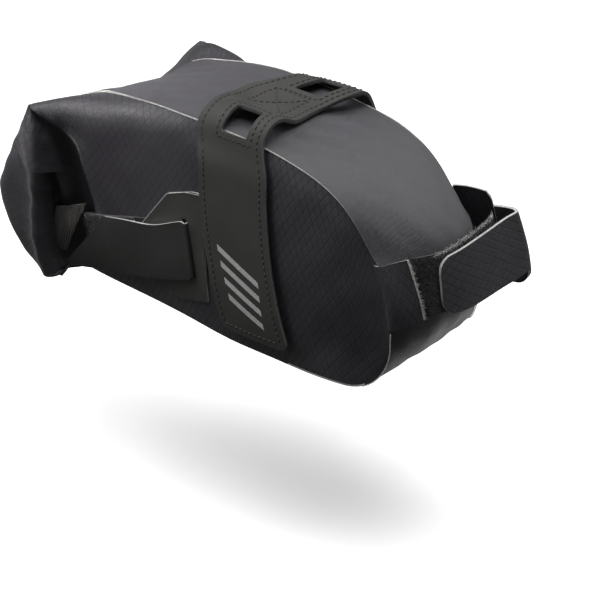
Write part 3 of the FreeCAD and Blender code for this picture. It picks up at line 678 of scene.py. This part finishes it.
# The ear: cloth of the corner, folded out over the curl. Rows run from its forward ridge to the rear face
EAR_NET = [
    [(-95.5, 54.7, -10.8), (-95.6, 55.2, -10.6), (-95.9, 55.5, -10.5), (-96.3, 55.4, -10.6),
     (-96.8, 54.9, -10.9), (-97.2, 53.6, -11.3)],
    [(-91.4, 52.6, -17.6), (-92.2, 55, -17.8), (-94, 57, -17.8), (-96.6, 57.2, -17.8), (-99.3, 55.6, -18),
     (-101.2, 52.6, -18.2)],
    [(-88.2, 51.2, -25.2), (-89.4, 54.6, -25.6), (-92, 58.2, -25.8), (-95.8, 58.4, -26), (-100, 56.6, -26.2),
     (-104.5, 52.8, -26.4)],
    [(-86.2, 49, -34), (-87.8, 53, -34.4), (-91, 58.4, -34.8), (-95.3, 59, -35), (-99.6, 57, -35.2),
     (-106, 54.2, -35.6)],
    [(-84.6, 46.8, -43.5), (-86.2, 51.2, -42.6), (-90, 58.8, -41.2), (-94.6, 59.2, -41.6), (-98.6, 56, -43.4),
     (-104.5, 54.4, -46)],
]


def rear():
    """Neck and folded closure, the strip in its hem, and its two ears."""
    half = np.array(REAR_NET, float)
    whole = np.concatenate([half, (half * (1, -1, 1))[:, ::-1][:, 1:]], axis=1) * (1, -1, 1)
    grid = surface(whole, 110, 193)
    hem = grid[-1:] + np.array([0, 0, 1.5])
    middle = np.array([-90, 0, hem[..., 2].mean()])
    grid = np.concatenate([grid, (hem - middle) * (0.96, 0.94, 1) + middle])
    lay("rear_closure_cloth", puckers(grid, 0.7, 12), 1.1, 0, [REAR_CLOTH, GREY_EDGE], None, "side_fabric",
        ["closure_fold", "rear_sleeve"], REAR_FOLD, "folded")
    behind = (np.abs(grid[60, :, 1]) < 42) & (grid[60, :, 0] < -100)
    strip = grid[34:64, behind] + np.array([4.0, 0, 0])
    lay("closure_board", strip, 1.5, 0, [BOARD, BOARD], "closure", "board", ["closure_stiffener"])
    ear = puckers(surface(EAR_NET, 60, 50), 0.5, 20)
    for side, word in SIDES:
        lay(f"closure_ear_{word}", ear, 1.2, side, [REAR_CLOTH, REAR_CLOTH], None, "side_fabric", (),
            REAR_FOLD, "folded")


# ---- rail strap ----

STRAP_HALF = 18.4
# One half of the strap over the top: (outward, up at its rear edge, in the middle, at its front edge)
NEAR_PROFILE = [(0, 2.0, -0.4, 0.2), (5, 2.2, -0.2, 0.2), (9, 2.8, 1.2, 0.6), (13.5, 3.7, 3.9, 2.8),
                (18, 4.0, 5.2, 5.0), (22, 3.7, 5.5, 5.6), (25.6, 2.6, 4.7, 5.0), (29.3, 0.3, 2.2, 2.5),
                (32.4, -4.0, -2.5, -2.5), (34.6, -9.2, -8.4, -8.4)]
FAR_PROFILE = [(0, 2.0, -0.4, 0.2), (5, 1.6, -0.4, 0.2), (9, 1.4, 0.6, 1.0), (13.5, 1.6, 2.4, 2.6),
               (18, 1.8, 3.4, 3.8), (22, 1.6, 3.6, 4.0), (25.6, 0.8, 3.0, 3.4), (29.3, -1.2, 1.0, 1.4),
               (32.4, -5.0, -3.2, -3.0), (34.6, -9.5, -8.6, -8.6)]
FLAP_HEIGHTS = [-16, -26, -38, -50, -62, -74, -85, -88.3]
FLAP_OUT = [2.6, 2.9, 3.1, 3.3, 3.4, 3.5, 3.5, 3.5]


def strap_shift(z, side):
    """How far forward the middle of the strap has moved at a height."""
    drop = np.clip((-3.7 - z) / 85, 0, 1.1)
    if side == LEFT:
        return 9 + 17 * drop ** 1.3
    return 26 * (drop + drop ** 2) / 2 + 3 * min(drop * 8, 1) * (1 - 0.7 * drop)


def strap_net(side):
    """Outer surface of one half of the strap, from its middle to the end of its flap."""
    rows = []
    for y, rear, middle, front in (NEAR_PROFILE if side == RIGHT else FAR_PROFILE):
        over = strap_shift(-3.7, side) * float(smooth_step(2, 24, y))
        shift = over + (strap_shift(middle, side) - strap_shift(-3.7, side)) * (y > 29)
        rows.append([(x + shift, y, z) for x, z in ((-STRAP_HALF, rear), (0, middle), (STRAP_HALF, front))])
    for z, out in zip(FLAP_HEIGHTS, FLAP_OUT):
        places = [(x + strap_shift(z, side), z) for x in (-STRAP_HALF, 0, STRAP_HALF)]
        rows.append([tuple(point) for point in on_skin(places, out + 0.5)])
    return np.array(rows)


STRAPS = {side: strap_net(side) for side, _ in SIDES}
STRAP_ALONG = chord(STRAPS[RIGHT], 0)
STRAP_LENGTH = STRAP_ALONG[-1]


def strap_point(along, across, side, out=0.0):
    """Points on one half of the strap: along it from its middle, across it (forward positive), and out."""
    along, across = np.broadcast_arrays(np.asarray(along, float), np.asarray(across, float))
    shape = along.shape

    def at(s, t):
        w = weights(STRAP_ALONG, s)
        column = weights([-STRAP_HALF, 0, STRAP_HALF], t)
        return np.einsum("ni,ijk,nj->nk", w, STRAPS[side], column)

    s, t = along.ravel(), across.ravel()
    point = at(s, t)
    normal = np.cross(at(s, t + 0.5) - point, at(s + 0.5, t) - point)
    normal /= np.linalg.norm(normal, axis=1, keepdims=True)
    normal *= np.sign(np.sum(normal * (point - INSIDE), axis=1))[:, None]
    point = point + normal * np.broadcast_to(out, shape).ravel()[:, None]
    return point.reshape(shape + (3,)), normal.reshape(shape + (3,))


WINDOWS = {RIGHT: 28.8, LEFT: 20.5}     # middles, from the strap's middle along it
WINDOW_HALF = (7.8, 7.2)                # along the strap, and across it
WINDOW_SIDE = 2.6                       # its middle is this far forward of the strap's
WINDOW_ROUND = 1.6


def strap_mesh_lines(side):
    """Lines of the strap's grid, with some on the window's edges."""
    low, high = WINDOWS[side] - WINDOW_HALF[0], WINDOWS[side] + WINDOW_HALF[0]
    last = 6                            # lines crowd towards the rounded end, over this much
    along = np.concatenate([np.linspace(0, low, 17)[:-1], np.linspace(low, high, 13)[:-1],
                            np.linspace(high, STRAP_LENGTH - last, 62)[:-1],
                            STRAP_LENGTH - last + last * np.sin(np.linspace(0, math.pi / 2, 12))])
    rear, front = WINDOW_SIDE - WINDOW_HALF[1], WINDOW_SIDE + WINDOW_HALF[1]
    across = np.concatenate([np.linspace(-STRAP_HALF, rear, 11)[:-1], np.linspace(rear, front, 13)[:-1],
                             np.linspace(front, STRAP_HALF, 11)])
    return along, across


HINGE_ALONG = 46.5                      # where the flap starts to lift


def strap_grid(low, high, side):
    """Grid of (along, across) for a stretch of the strap, with its rounded end and window."""
    along, across = strap_mesh_lines(side)
    window = WINDOWS[side]
    along = along[(along >= low - 1e-6) & (along <= high + 1e-6)]
    s, t = np.meshgrid(along, across, indexing="ij")
    reach = 4.5                         # radius of the flap's end corners
    left = np.clip(reach - (STRAP_LENGTH - s), 0, reach)
    t = t * (STRAP_HALF - (reach - np.sqrt(np.maximum(reach ** 2 - left ** 2, 0)))) / STRAP_HALF
    half_s, half_t = WINDOW_HALF
    away_s, away_t = s - window, t - WINDOW_SIDE
    flat_s, flat_t = half_s - WINDOW_ROUND, half_t - WINDOW_ROUND
    corner_s, corner_t = np.abs(away_s) - flat_s, np.abs(away_t) - flat_t
    near = 0.02
    on_end = np.isclose(np.abs(away_s), half_s, atol=near) & (np.abs(away_t) <= half_t + near)
    on_side = np.isclose(np.abs(away_t), half_t, atol=near) & (np.abs(away_s) <= half_s + near)
    zone = (on_end | on_side) & (corner_s > 0) & (corner_t > 0)
    far = np.maximum(np.hypot(corner_s, corner_t), 1e-6)
    s = np.where(zone, window + np.sign(away_s) * (flat_s + corner_s / far * WINDOW_ROUND), s)
    t = np.where(zone, WINDOW_SIDE + np.sign(away_t) * (flat_t + corner_t / far * WINDOW_ROUND), t)
    middle_s = (along[1:] + along[:-1]) / 2
    middle_t = (across[1:] + across[:-1]) / 2
    inside = (np.abs(middle_s - window) < half_s)[:, None] & (np.abs(middle_t - WINDOW_SIDE) < half_t)
    return s, t, ~inside


# Layers of the strap: (name, height, thickness, face, rim, slot, the strap's node, the flap's node)
LAYERS = [("outer", 0.0, 1.0, HYPALON, GREY_EDGE, "hypalon", "rail_strap", "rail_flap"),
          ("backing", -1.02, 0.75, LINING, LINING, "lining", "rail_strap_lining", "flap_lining")]


def rail_strap():
    """Strap over the top, its two flaps, and the tapes between each flap and the side."""
    joints = {}
    for side, _ in SIDES:
        knots, _ = strap_mesh_lines(side)
        joints[side] = knots[np.argmin(np.abs(knots - HINGE_ALONG))]
    for label, top, thick, cloth, rim, slot, node, _ in LAYERS:
        halves, openings = [], []
        for side, _ in SIDES:
            s, t, present = strap_grid(0, joints[side], side)
            halves.append(strap_point(s, t, side, top)[0] * (1, -side, 1))
            openings.append(present)
        halves[1][0] = halves[0][0]
        lay(f"rail_strap_{label}", np.concatenate([halves[0][::-1][:-1], halves[1]]), thick, 0, [cloth, rim],
            "bag", slot, [node], None, "stretched", ["top_cloth"],
            present=np.concatenate([openings[0][::-1], openings[1]]))
    for side, word in SIDES:
        pin = np.array(HINGES[f"flap_{word}_hinge"])
        start, end = tuple(pin + np.array([0, 0, 0.001])), tuple(pin + np.array([0, 0, -0.007]))
        across = ("bag", f"flap_{word}", start, end)
        s, t, present = strap_grid(joints[side], STRAP_LENGTH, side)
        for label, top, thick, cloth, rim, slot, _, node in LAYERS:
            lay(f"flap_{label}_{word}", strap_point(s, t, side, top)[0], thick, side, [cloth, rim], None,
                slot, [f"{node}_{word}"], across, "hung", [f"side_cloth_{word}"], present=present)
        stitching(side, word, joints[side], across)
        mark(side, word, across)
        tape = np.meshgrid(np.linspace(STRAP_LENGTH - 36, STRAP_LENGTH - 5, 30), np.linspace(-12.5, 12.5, 24),
                           indexing="ij")
        points, _ = strap_point(*tape, side, -1.8)
        lay(f"flap_hook_tape_{word}", points, 0.6, side, [HOOKS, HOOKS], None, "hook_tape",
            [f"flap_hook_pad_{word}"], across)
        lay(f"side_loop_tape_{word}", on_skin(points[:, :, [0, 2]], 0.9), 0.9, side, [PILE, PILE], "bag",
            "loop_tape", [f"side_loop_pad_{word}"])


def stitch_line(build, s, t, side):
    """Stitches along a line on the strap."""
    line, normal = strap_point(s, t, side, 0.05)
    build.stitches(line, normal)


def stitching(side, word, joint, across):
    """Rows near the edges, across the end, and round the window."""
    inset = STRAP_HALF - 3.0            # the rows' distance from the strap's middle
    hanging, fixed = Build(), Build()
    fall = np.linspace(joint, STRAP_LENGTH - 3.2, 120)
    over = np.linspace(0, joint, 90)
    for sign in (-1, 1):
        stitch_line(hanging, fall, np.full_like(fall, sign * inset), side)
        stitch_line(fixed, over, np.full_like(over, sign * inset), side)
    width = np.linspace(-inset, inset, 40)
    stitch_line(hanging, np.full_like(width, STRAP_LENGTH - 3.2), width, side)
    gap = 2.3                           # between the window and the stitches round it
    s0, s1 = WINDOWS[side] - WINDOW_HALF[0] - gap, WINDOWS[side] + WINDOW_HALF[0] + gap
    t0, t1 = WINDOW_SIDE - WINDOW_HALF[1] - gap, WINDOW_SIDE + WINDOW_HALF[1] + gap
    for a, b in (((s0, t0), (s0, t1)), ((s0, t1), (s1, t1)), ((s1, t1), (s1, t0)), ((s1, t0), (s0, t0))):
        stitch_line(fixed, np.linspace(a[0], b[0], 20), np.linspace(a[1], b[1], 20), side)
    make(f"flap_stitching_{word}", hanging, side, [THREAD], None, "hypalon", (), across)
    make(f"strap_stitching_{word}", fixed, side, [THREAD], "bag", "hypalon")


def cross_box():
    """Stitched box with a cross, in the middle of the strap."""
    build = Build()
    half = 9.5

    def spots(a, b):
        """Points and normals of a line between two places, which may cross the strap's middle."""
        s, t = np.linspace(a[0], b[0], 40), np.linspace(a[1], b[1], 40)
        near, far = (strap_point(np.abs(s), t, side, 0.05) for side in (RIGHT, LEFT))
        is_near = (s > 0)[:, None]
        return [np.where(is_near, n * (1, -1, 1), f) for n, f in zip(near, far)]

    corners = [(-half, -half), (half, -half), (half, half), (-half, half)]
    pairs = [(corners[i], corners[(i + 1) % 4]) for i in range(4)]
    pairs += [(corners[0], corners[2]), (corners[1], corners[3])]
    for a, b in pairs:
        build.stitches(*spots(a, b))
    make("strap_cross_stitching", build, 0, [THREAD], "bag", "hypalon")


def mark(side, word, across):
    """Four slanted reflective bars near the flap's end."""
    build = Build()
    bars, pitch, thick, half, slant = 4, 6.8, 2.8, 10.5, 0.5
    for number in range(bars):
        base = STRAP_LENGTH - 35 + number * pitch
        width = np.linspace(-half + number * 0.7, half - number * 0.7, 16)
        s = np.linspace(0, 1, 3)[:, None] * thick + base + width[None, :] * slant
        points, _ = strap_point(s, np.broadcast_to(width, s.shape), side, 0.12)
        build.slab(points, 0.12)
    make(f"flap_mark_{word}", build, side, [MARK, MARK], None, "hypalon", (), across)


# ---- closure strap, patch and webbing ----

TILT = math.radians(14.5)
SLOT = np.array([-15.6, -60.4])         # middle of the slot: forward, up
STRAP_WIDTH = 25.0


def along_strap(x, across):
    """Place on the side, from the slot: x forward along the closure strap, and across it."""
    x, across = np.broadcast_arrays(np.asarray(x, float), np.asarray(across, float))
    forward = SLOT[0] + x * math.cos(TILT) - across * math.sin(TILT)
    up = SLOT[1] + x * math.sin(TILT) + across * math.cos(TILT)
    return np.stack([forward, up], axis=-1)


def band(rear, front, out, rows, columns):
    """Grid on the side along the closure strap, from one distance off the slot to another."""
    x, b = np.meshgrid(np.linspace(0, 1, rows), np.linspace(0, 1, columns), indexing="ij")
    return on_skin(along_strap(rear + (front - rear) * x, (b - 0.5) * STRAP_WIDTH), out)


def side_patch(side, word):
    """Patch round the slot, with its seam and the low tunnel for the strap."""
    top = [(-41.5, -56), (-28.6, -38), (-16, -33.9), (-13.5, -33.6), (-10.8, -33.6)]
    bottom = [(-34.5, -81.8), (-31, -83.4), (-21.4, -86.9), (-12, -84.6), (-2.6, -81.9)]
    upper, lower = (np.concatenate([even(line[:3], 20), even(line[2:], 14)[1:]]) for line in (top, bottom))
    t = np.linspace(0, 1, 34)[:, None]
    grid = upper[:, None] * (1 - t) + lower[:, None] * t
    middle = (grid[1:, 1:] + grid[:-1, :-1]) / 2 - SLOT
    x = middle[..., 0] * math.cos(TILT) + middle[..., 1] * math.sin(TILT)
    y = -middle[..., 0] * math.sin(TILT) + middle[..., 1] * math.cos(TILT)
    present = ~((np.abs(x) < 1.7) & (np.abs(y) < 13.4))
    away = grid - SLOT
    tunnel = np.clip(1 - np.abs(away[..., 1] - away[..., 0] * math.tan(TILT)) / 15, 0, 1)
    rise = 1.2 + 0.9 * smooth_step(0.0, 0.35, tunnel) * smooth_step(6, -4, away[..., 0])
    build = Build()
    build.slab(on_skin(grid, rise), 1.0, present)
    line = np.array(top[:2] + [(-19, -34.6), (-10.8, -33.6)])
    build.tube(on_skin(even(line, 40), 2.1), 0.17, 5, 1)
    make(f"side_patch_cover_{word}", build, side, [HYPALON, PALE_EDGE], "bag", "hypalon",
         [f"side_patch_{word}"], None, "laid", [f"side_cloth_{word}"])


def closure_strap(side, word):
    """Inner run with its pile, the turn at the slot, and the outer end folded back over it."""
    lay(f"closure_run_{word}", band(-60, -1.2, 1.0, 50, 20), 0.9, side, [CLOSURE_RUBBER, GREY_EDGE], "bag",
        "closure_sheet", [f"strap_run_{word}"], None, "laid", [f"side_cloth_{word}"])
    pile = band(-59, -29, 1.9, 40, 26)
    lay(f"closure_pile_{word}", pile, 0.8, side, [PILE, PILE], "bag", "loop_tape", [f"run_loop_pad_{word}"])
    build = Build()
    fibres(build, pile[:30], 1500, 0.9, 21 + side)
    make(f"closure_pile_loops_{word}", build, side, [PILE], "bag", "loop_tape")

    # outer end: from the tip to the slot, then round the turn and down into it
    a, b = np.linspace(0, 1, 64)[:, None], np.linspace(0, 1, 26)[None, :]
    x = -76.5 + 32 * b + (77.5 - 32 * b) * a
    upper = weights([-80, -44, -30, -15, -5, 5], x.ravel()) @ np.array([12.9, 12.9, 12.0, 10.9, 12.3, 13.4])
    lower = weights([-80, -60, -35, -15, 5], x.ravel()) @ np.array([-9.8, -12.6, -14.3, -14.5, -13.2])
    upper, lower = upper.reshape(x.shape), lower.reshape(x.shape)
    rounding = 2.2
    reach = np.clip(x + 0.9, 0, 1.9)
    corner = rounding - np.sqrt(np.maximum(rounding ** 2 - reach ** 2, 0))
    across = (lower + corner) + (upper - lower - 2 * corner) * b
    bow = 1.2 * np.sin(math.pi * a) * (1 - 0.3 * b)
    place = along_strap(x, across)
    height = 3.4                            # of the end's outer face above the side cloth, at the slot
    grid = on_skin(place, height + bow + 3.6 * smooth_step(-60, -86, place[..., 0]))
    radius = 1.35                           # of its turn into the slot
    turn = []
    for angle in np.linspace(0, math.pi, 9)[1:]:
        place = along_strap(1.0 + radius * math.sin(angle), across[-1])
        turn.append(on_skin(place, height - radius + radius * math.cos(angle)))
    pin = Vector(HINGES[f"closure_end_{word}_hinge"])
    along = Vector((math.cos(TILT), 0, math.sin(TILT))) * 0.001
    start, end = tuple(pin + along * 1.5), tuple(pin - along * 5)
    lay(f"closure_end_sheet_{word}", np.concatenate([grid, np.array(turn)]), 0.95, side,
        [CLOSURE_RUBBER, PALE_EDGE], None, "closure_sheet", [f"strap_end_{word}"],
        ("bag", f"closure_end_{word}", start, end), "folded", [f"closure_run_{word}"])
    tape = np.meshgrid(np.linspace(-44, -31, 20), np.linspace(-11, 11, 18), indexing="ij")
    lay(f"closure_hooks_{word}", on_skin(along_strap(*tape), 3.2), 0.5, side, [HOOKS, HOOKS],
        f"closure_end_{word}", "hook_tape", [f"end_hook_pad_{word}"])


def fibres(build, grid, count, height, seed, number=0):
    """Loops of pile: small bent threads standing on a sheet."""
    rng = np.random.default_rng(seed)
    normal = normals(grid)
    if np.sum(normal * (grid - INSIDE)) < 0:
        normal = -normal
    rows, columns = grid.shape[:2]
    for _ in range(count):
        i, j = rng.uniform(0, rows - 1.001), rng.uniform(0, columns - 1.001)
        a, b = int(i), int(j)
        p = grid[a, b] * (1 - i + a) * (1 - j + b) + grid[a + 1, b] * (i - a) * (1 - j + b)
        p = p + grid[a, b + 1] * (1 - i + a) * (j - b) + grid[a + 1, b + 1] * (i - a) * (j - b)
        n = normal[a, b]
        lean = rng.normal(0, 0.55, 3)
        lean = lean - n * (lean @ n)
        tall = height * rng.uniform(0.5, 1.15)
        points = [p, p + n * tall * 0.7 + lean * 0.4, p + n * tall + lean, p + n * tall * 0.35 + lean * 1.7]
        build.tube(curve(points, 5), 0.07, 3, number)


def closure_webbing(side, word):
    """Elastic webbing from inside the curl to the end of the closure strap, which it meets on a slant."""
    a, b = np.linspace(0, 1, 36)[:, None], np.linspace(0, 1, 28)[None, :]
    top = np.array([-96.0, -66.0]) + a[..., None] * np.array([21.5, 8.2])
    low = np.array([-96.5, -85.5]) + a[..., None] * np.array([9.5, -0.8])
    place = top + (low - top) * b[..., None]
    out = np.interp(a, [0, 0.3, 0.6, 1], [42.5, 45.8, 46.2, 44.2]) + 0.9 * np.sin(math.pi * b)
    grid = np.stack([place[..., 0], out, place[..., 1]], axis=-1)
    lay(f"elastic_{word}", grid, 1.3, side, [WEBBING, WEBBING], "closure", "webbing",
        [f"closure_webbing_{word}"], None, "stretched")


# ---- seatpost strap ----

# Nets of the front pieces, (forward, left, up), each row from its top edge to its bottom one
NEAR_TAB = [
    [(76.5, -30.4, -40.4), (81.5, -31.5, -49.5), (85, -32.5, -59), (86.4, -33.2, -67.5)],
    [(80.2, -31.1, -40), (86, -32.5, -49.2), (89.3, -33.8, -58.5), (90.4, -34.2, -66.5)],
    [(84.6, -27.4, -38.7), (89.8, -28.8, -48), (93.8, -29.7, -57.5), (95.2, -29.9, -65)],
    [(89.3, -22, -37.4), (93.2, -22.2, -46), (96.6, -22.2, -55), (98.6, -22, -63.2)],
]
LOOP_STRIP = [
    [(84.8, -25, -38.3), (88.9, -25.2, -46.8), (92.4, -25.2, -55), (94.6, -25, -62.6)],
    [(87.6, -22.1, -37.9), (91.5, -22.3, -46.4), (94.9, -22.4, -55), (96.9, -22.2, -62.8)],
    [(92.6, -17.6, -36.9), (95.4, -17.8, -46), (98, -18, -55), (99.7, -17.8, -63.2)],
    [(97, -10, -36.5), (98.9, -10.2, -46), (100.4, -10.4, -55), (101.4, -10.4, -63.4)],
    [(98.2, 3, -36), (100.2, 3, -46), (101.7, 3, -55), (102.6, 3, -63.5)],
    [(98.2, 15, -35.6), (100, 15.3, -46), (101.5, 15.5, -55), (102.4, 15.5, -63.4)],
    [(96.8, 26.4, -35), (98.4, 27, -44), (99.8, 27.2, -52), (100.6, 27.2, -59)],
    [(94.5, 30.6, -36.6), (96, 31.3, -43), (97.2, 31.5, -49), (98, 31.5, -55)],
]
FAR_TAB = [
    [(72, 32.8, -31), (73, 34, -42), (74, 35.3, -54), (75, 36.4, -66)],
    [(76.5, 34.2, -30.1), (78.5, 35.6, -43), (80.5, 37, -57), (82, 38, -70)],
    [(82, 36.6, -30.2), (84.2, 38.2, -43.5), (86.6, 39.8, -58), (88.5, 41, -72)],
    [(87.6, 39, -31), (90, 40.8, -44), (92.8, 42.4, -58), (95, 43.6, -72)],
]
POST_STRAP = [
    [(83.5, 38.8, -38.2), (85.6, 40, -49), (88, 41.4, -60.5), (90, 42.4, -71.5)],
    [(89.4, 41.2, -37.8), (92, 42.8, -49.5), (94.6, 44.2, -61.5), (96.6, 45.2, -73.5)],
    [(95.6, 42.8, -37.2), (98.4, 44.8, -49.5), (101, 46.4, -61.5), (102.4, 47.4, -73)],
    [(99.4, 42.6, -37), (101.6, 44.8, -48), (103.6, 46.6, -59), (104.8, 47.4, -69.5)],
    [(101, 40.9, -37), (103, 43.2, -47), (104.6, 44.9, -57), (105.6, 46, -66.6)],
    [(101.1, 37.2, -37), (103.3, 39.6, -47), (105, 41, -56.8), (106, 42, -66)],
    [(101, 24, -37.2), (103.4, 25, -47), (105, 25.5, -56.7), (106, 25.8, -66)],
    [(101.2, 10, -37.6), (103.4, 10, -47), (105, 10, -56.5), (106, 10, -65.8)],
    [(100.8, -3, -38), (102.7, -3.3, -47), (104.2, -3.7, -56), (105, -4, -65)],
    [(99, -12.6, -38.4), (100.6, -13.2, -46.5), (102, -13.8, -54.6), (103, -14.2, -62.8)],
]


def front_pieces():
    """The two tabs, the loop strip, and the seatpost strap with its hook tape."""
    grid = surface(NEAR_TAB, 40, 40)
    build = Build()
    build.slab(grid, 0.9)
    end = grid[-1]
    build.tube(end + np.array([0.1, -0.25, 0]), 0.42, 7, 1)
    fibres(build, np.stack([end, end + np.array([0.5, 0, 0])]), 260, 0.5, 9, 1)
    make("front_tab_near", build, 0, [SIDE_CLOTH, PALE_EDGE], "bag", "side_fabric", ["front_tab_right"], None,
         "stretched")
    strip = surface(LOOP_STRIP, 90, 40)
    lay("seatpost_loop_pile", strip, 1.0, 0, [PILE, PILE], "bag", "loop_tape", ["seatpost_loop_strip"], None,
        "stretched")
    build = Build()
    fibres(build, strip, 2800, 0.85, 5)
    fibres(build, strip[22:, :2], 420, 0.6, 6, 1)
    make("seatpost_pile_loops", build, 0, [PILE, PALE_EDGE], "bag", "loop_tape")
    grid = surface(FAR_TAB, 40, 44)
    trim = np.clip(1 - np.arange(40)[::-1] / 4, 0, 1)[:, None] * np.clip(1 - np.arange(44) / 4, 0, 1)[None, :]
    grid[..., 2] -= trim * 1.8
    lay("front_tab_far", grid, 1.0, 0, [SIDE_CLOTH, PALE_EDGE], "bag", "side_fabric", ["front_tab_left"],
        None, "stretched")

    # the strap narrows to a rounded end over its last stretch
    reach = 7.0
    dense = surface(POST_STRAP, 150, 44)
    along = np.cumsum(np.linalg.norm(np.diff(dense[:, 20], axis=0, prepend=dense[:1, 20]), axis=1))
    left = np.clip(reach - (along[-1] - along), 0, reach)
    keep = 1 - (reach - np.sqrt(np.maximum(reach ** 2 - left ** 2, 0))) / (2 * reach)
    middle = dense.mean(axis=1, keepdims=True)
    grid = middle + (dense - middle) * keep[:, None, None]
    pin = Vector(HINGES["post_strap_hinge"]) / MM
    start, end = tuple((pin + Vector((0, 2.5, 0))) * MM), tuple((pin + Vector((0, -3.5, 0))) * MM)
    lay("seatpost_strap_cloth", grid, 1.5, 0, [POST_CLOTH, PALE_EDGE], None, "side_fabric",
        ["seatpost_strap"], ("bag", "post_strap", start, end), "folded", ["seatpost_loop_pile"])
    pad = grid[125:143, 8:-8]
    facing = normals(pad) * np.sign(normals(pad)[..., :1])
    lay("seatpost_hooks", pad - facing * 1.55, 0.5, 0, [HOOKS, HOOKS], "post_strap", "hook_tape",
        ["seatpost_hook_pad"])


# ---- pieces that stay as the CAD made them ----

def inner_boards():
    """The floor's board, hidden inside the bag, keeps its CAD shape."""
    node = frame["nodes"]["base_stiffener"]
    node.data.materials.clear()
    node.data.materials.append(BOARD)


# ---- floor, light and camera ----

# Lamps, in metres: (name, place, aim, width and height, watts, spread in degrees)
LAMPS = [
    ("overhead_softbox", (0.06, 0.06, 0.95), (0, 0, -0.05), (1.0, 1.0), 17.0, 180),
    ("rear_softbox", (-0.50, -0.26, 0.46), (-0.07, -0.03, -0.03), (0.45, 0.40), 3.6, 180),
    ("near_softbox", (-0.34, -0.70, 0.20), (-0.08, -0.04, -0.03), (0.35, 0.35), 1.1, 180),
    ("shoulder_softbox", (-0.42, -0.36, 0.30), (-0.098, -0.03, -0.012), (0.06, 0.06), 0.045, 11),
    ("far_softbox", (0.25, 0.75, 0.30), (0.02, 0.03, -0.04), (0.45, 0.45), 2.6, 180),
    ("front_softbox", (0.7, 0.1, 0.15), (0.09, 0, -0.07), (0.35, 0.35), 0.25, 180),
    ("under_card", (0.10, 0.06, -0.175), (0.09, 0, -0.08), (0.10, 0.10), 0.042, 180),
]


def stage():
    """Pale floor, soft lamps, and the camera at the photo's angle."""
    scene = bpy.context.scene
    mesh = bpy.data.meshes.new("floor")
    reach, level = 6.0, CAD_BOX[0][2] - 0.095
    corners = [(-reach, -reach, level), (reach, -reach, level), (reach, reach, level), (-reach, reach, level)]
    mesh.from_pydata(corners, [], [(0, 1, 2, 3)])
    floor = bpy.data.objects.new("floor", mesh)
    scene.collection.objects.link(floor)
    paint = Paint("studio_floor", Roughness=0.9, Specular_IOR_Level=0.0, Emission_Strength=0.13)
    paint.shader.inputs["Base Color"].default_value = (0.95, 0.95, 0.95, 1)
    paint.shader.inputs["Emission Color"].default_value = (1, 1, 1, 1)
    mesh.materials.append(paint.material)
    floor.visible_diffuse = False
    floor.visible_glossy = False
    for name, place, aim, size, power, spread in LAMPS:
        data = bpy.data.lights.new(name, "AREA")
        data.spread = math.radians(spread)
        data.shape = "RECTANGLE"
        data.size, data.size_y = size
        data.energy = power
        lamp = bpy.data.objects.new(name, data)
        lamp.location = place
        lamp.rotation_euler = (Vector(aim) - Vector(place)).to_track_quat("-Z", "Y").to_euler()
        scene.collection.objects.link(lamp)
    world = bpy.data.worlds.new("studio")
    world.use_nodes = True
    background = world.node_tree.nodes["Background"]
    background.inputs["Color"].default_value = (1, 1, 1, 1)
    background.inputs["Strength"].default_value = 0.125
    scene.world = world

    azimuth, elevation, distance = math.radians(39), math.radians(30.5), 1.5
    target = Vector((0.0353, -0.0277, -0.0744))             # what the middle of the picture shows
    back = Vector((math.sin(azimuth) * math.cos(elevation), -math.cos(azimuth) * math.cos(elevation),
                   math.sin(elevation)))
    data = bpy.data.cameras.new("camera")
    data.sensor_width = 36
    data.lens = 207
    data.clip_end = 20
    camera = bpy.data.objects.new("camera", data)
    camera.location = target + back * distance
    camera.rotation_euler = (-back).to_track_quat("-Z", "Y").to_euler()
    scene.collection.objects.link(camera)
    bpy.context.scene.camera = camera
    scene.view_settings.view_transform = "Standard"


shell()
rear()
rail_strap()
cross_box()
for side, word in SIDES:
    side_patch(side, word)
    closure_strap(side, word)
    closure_webbing(side, word)
front_pieces()
inner_boards()
stage()
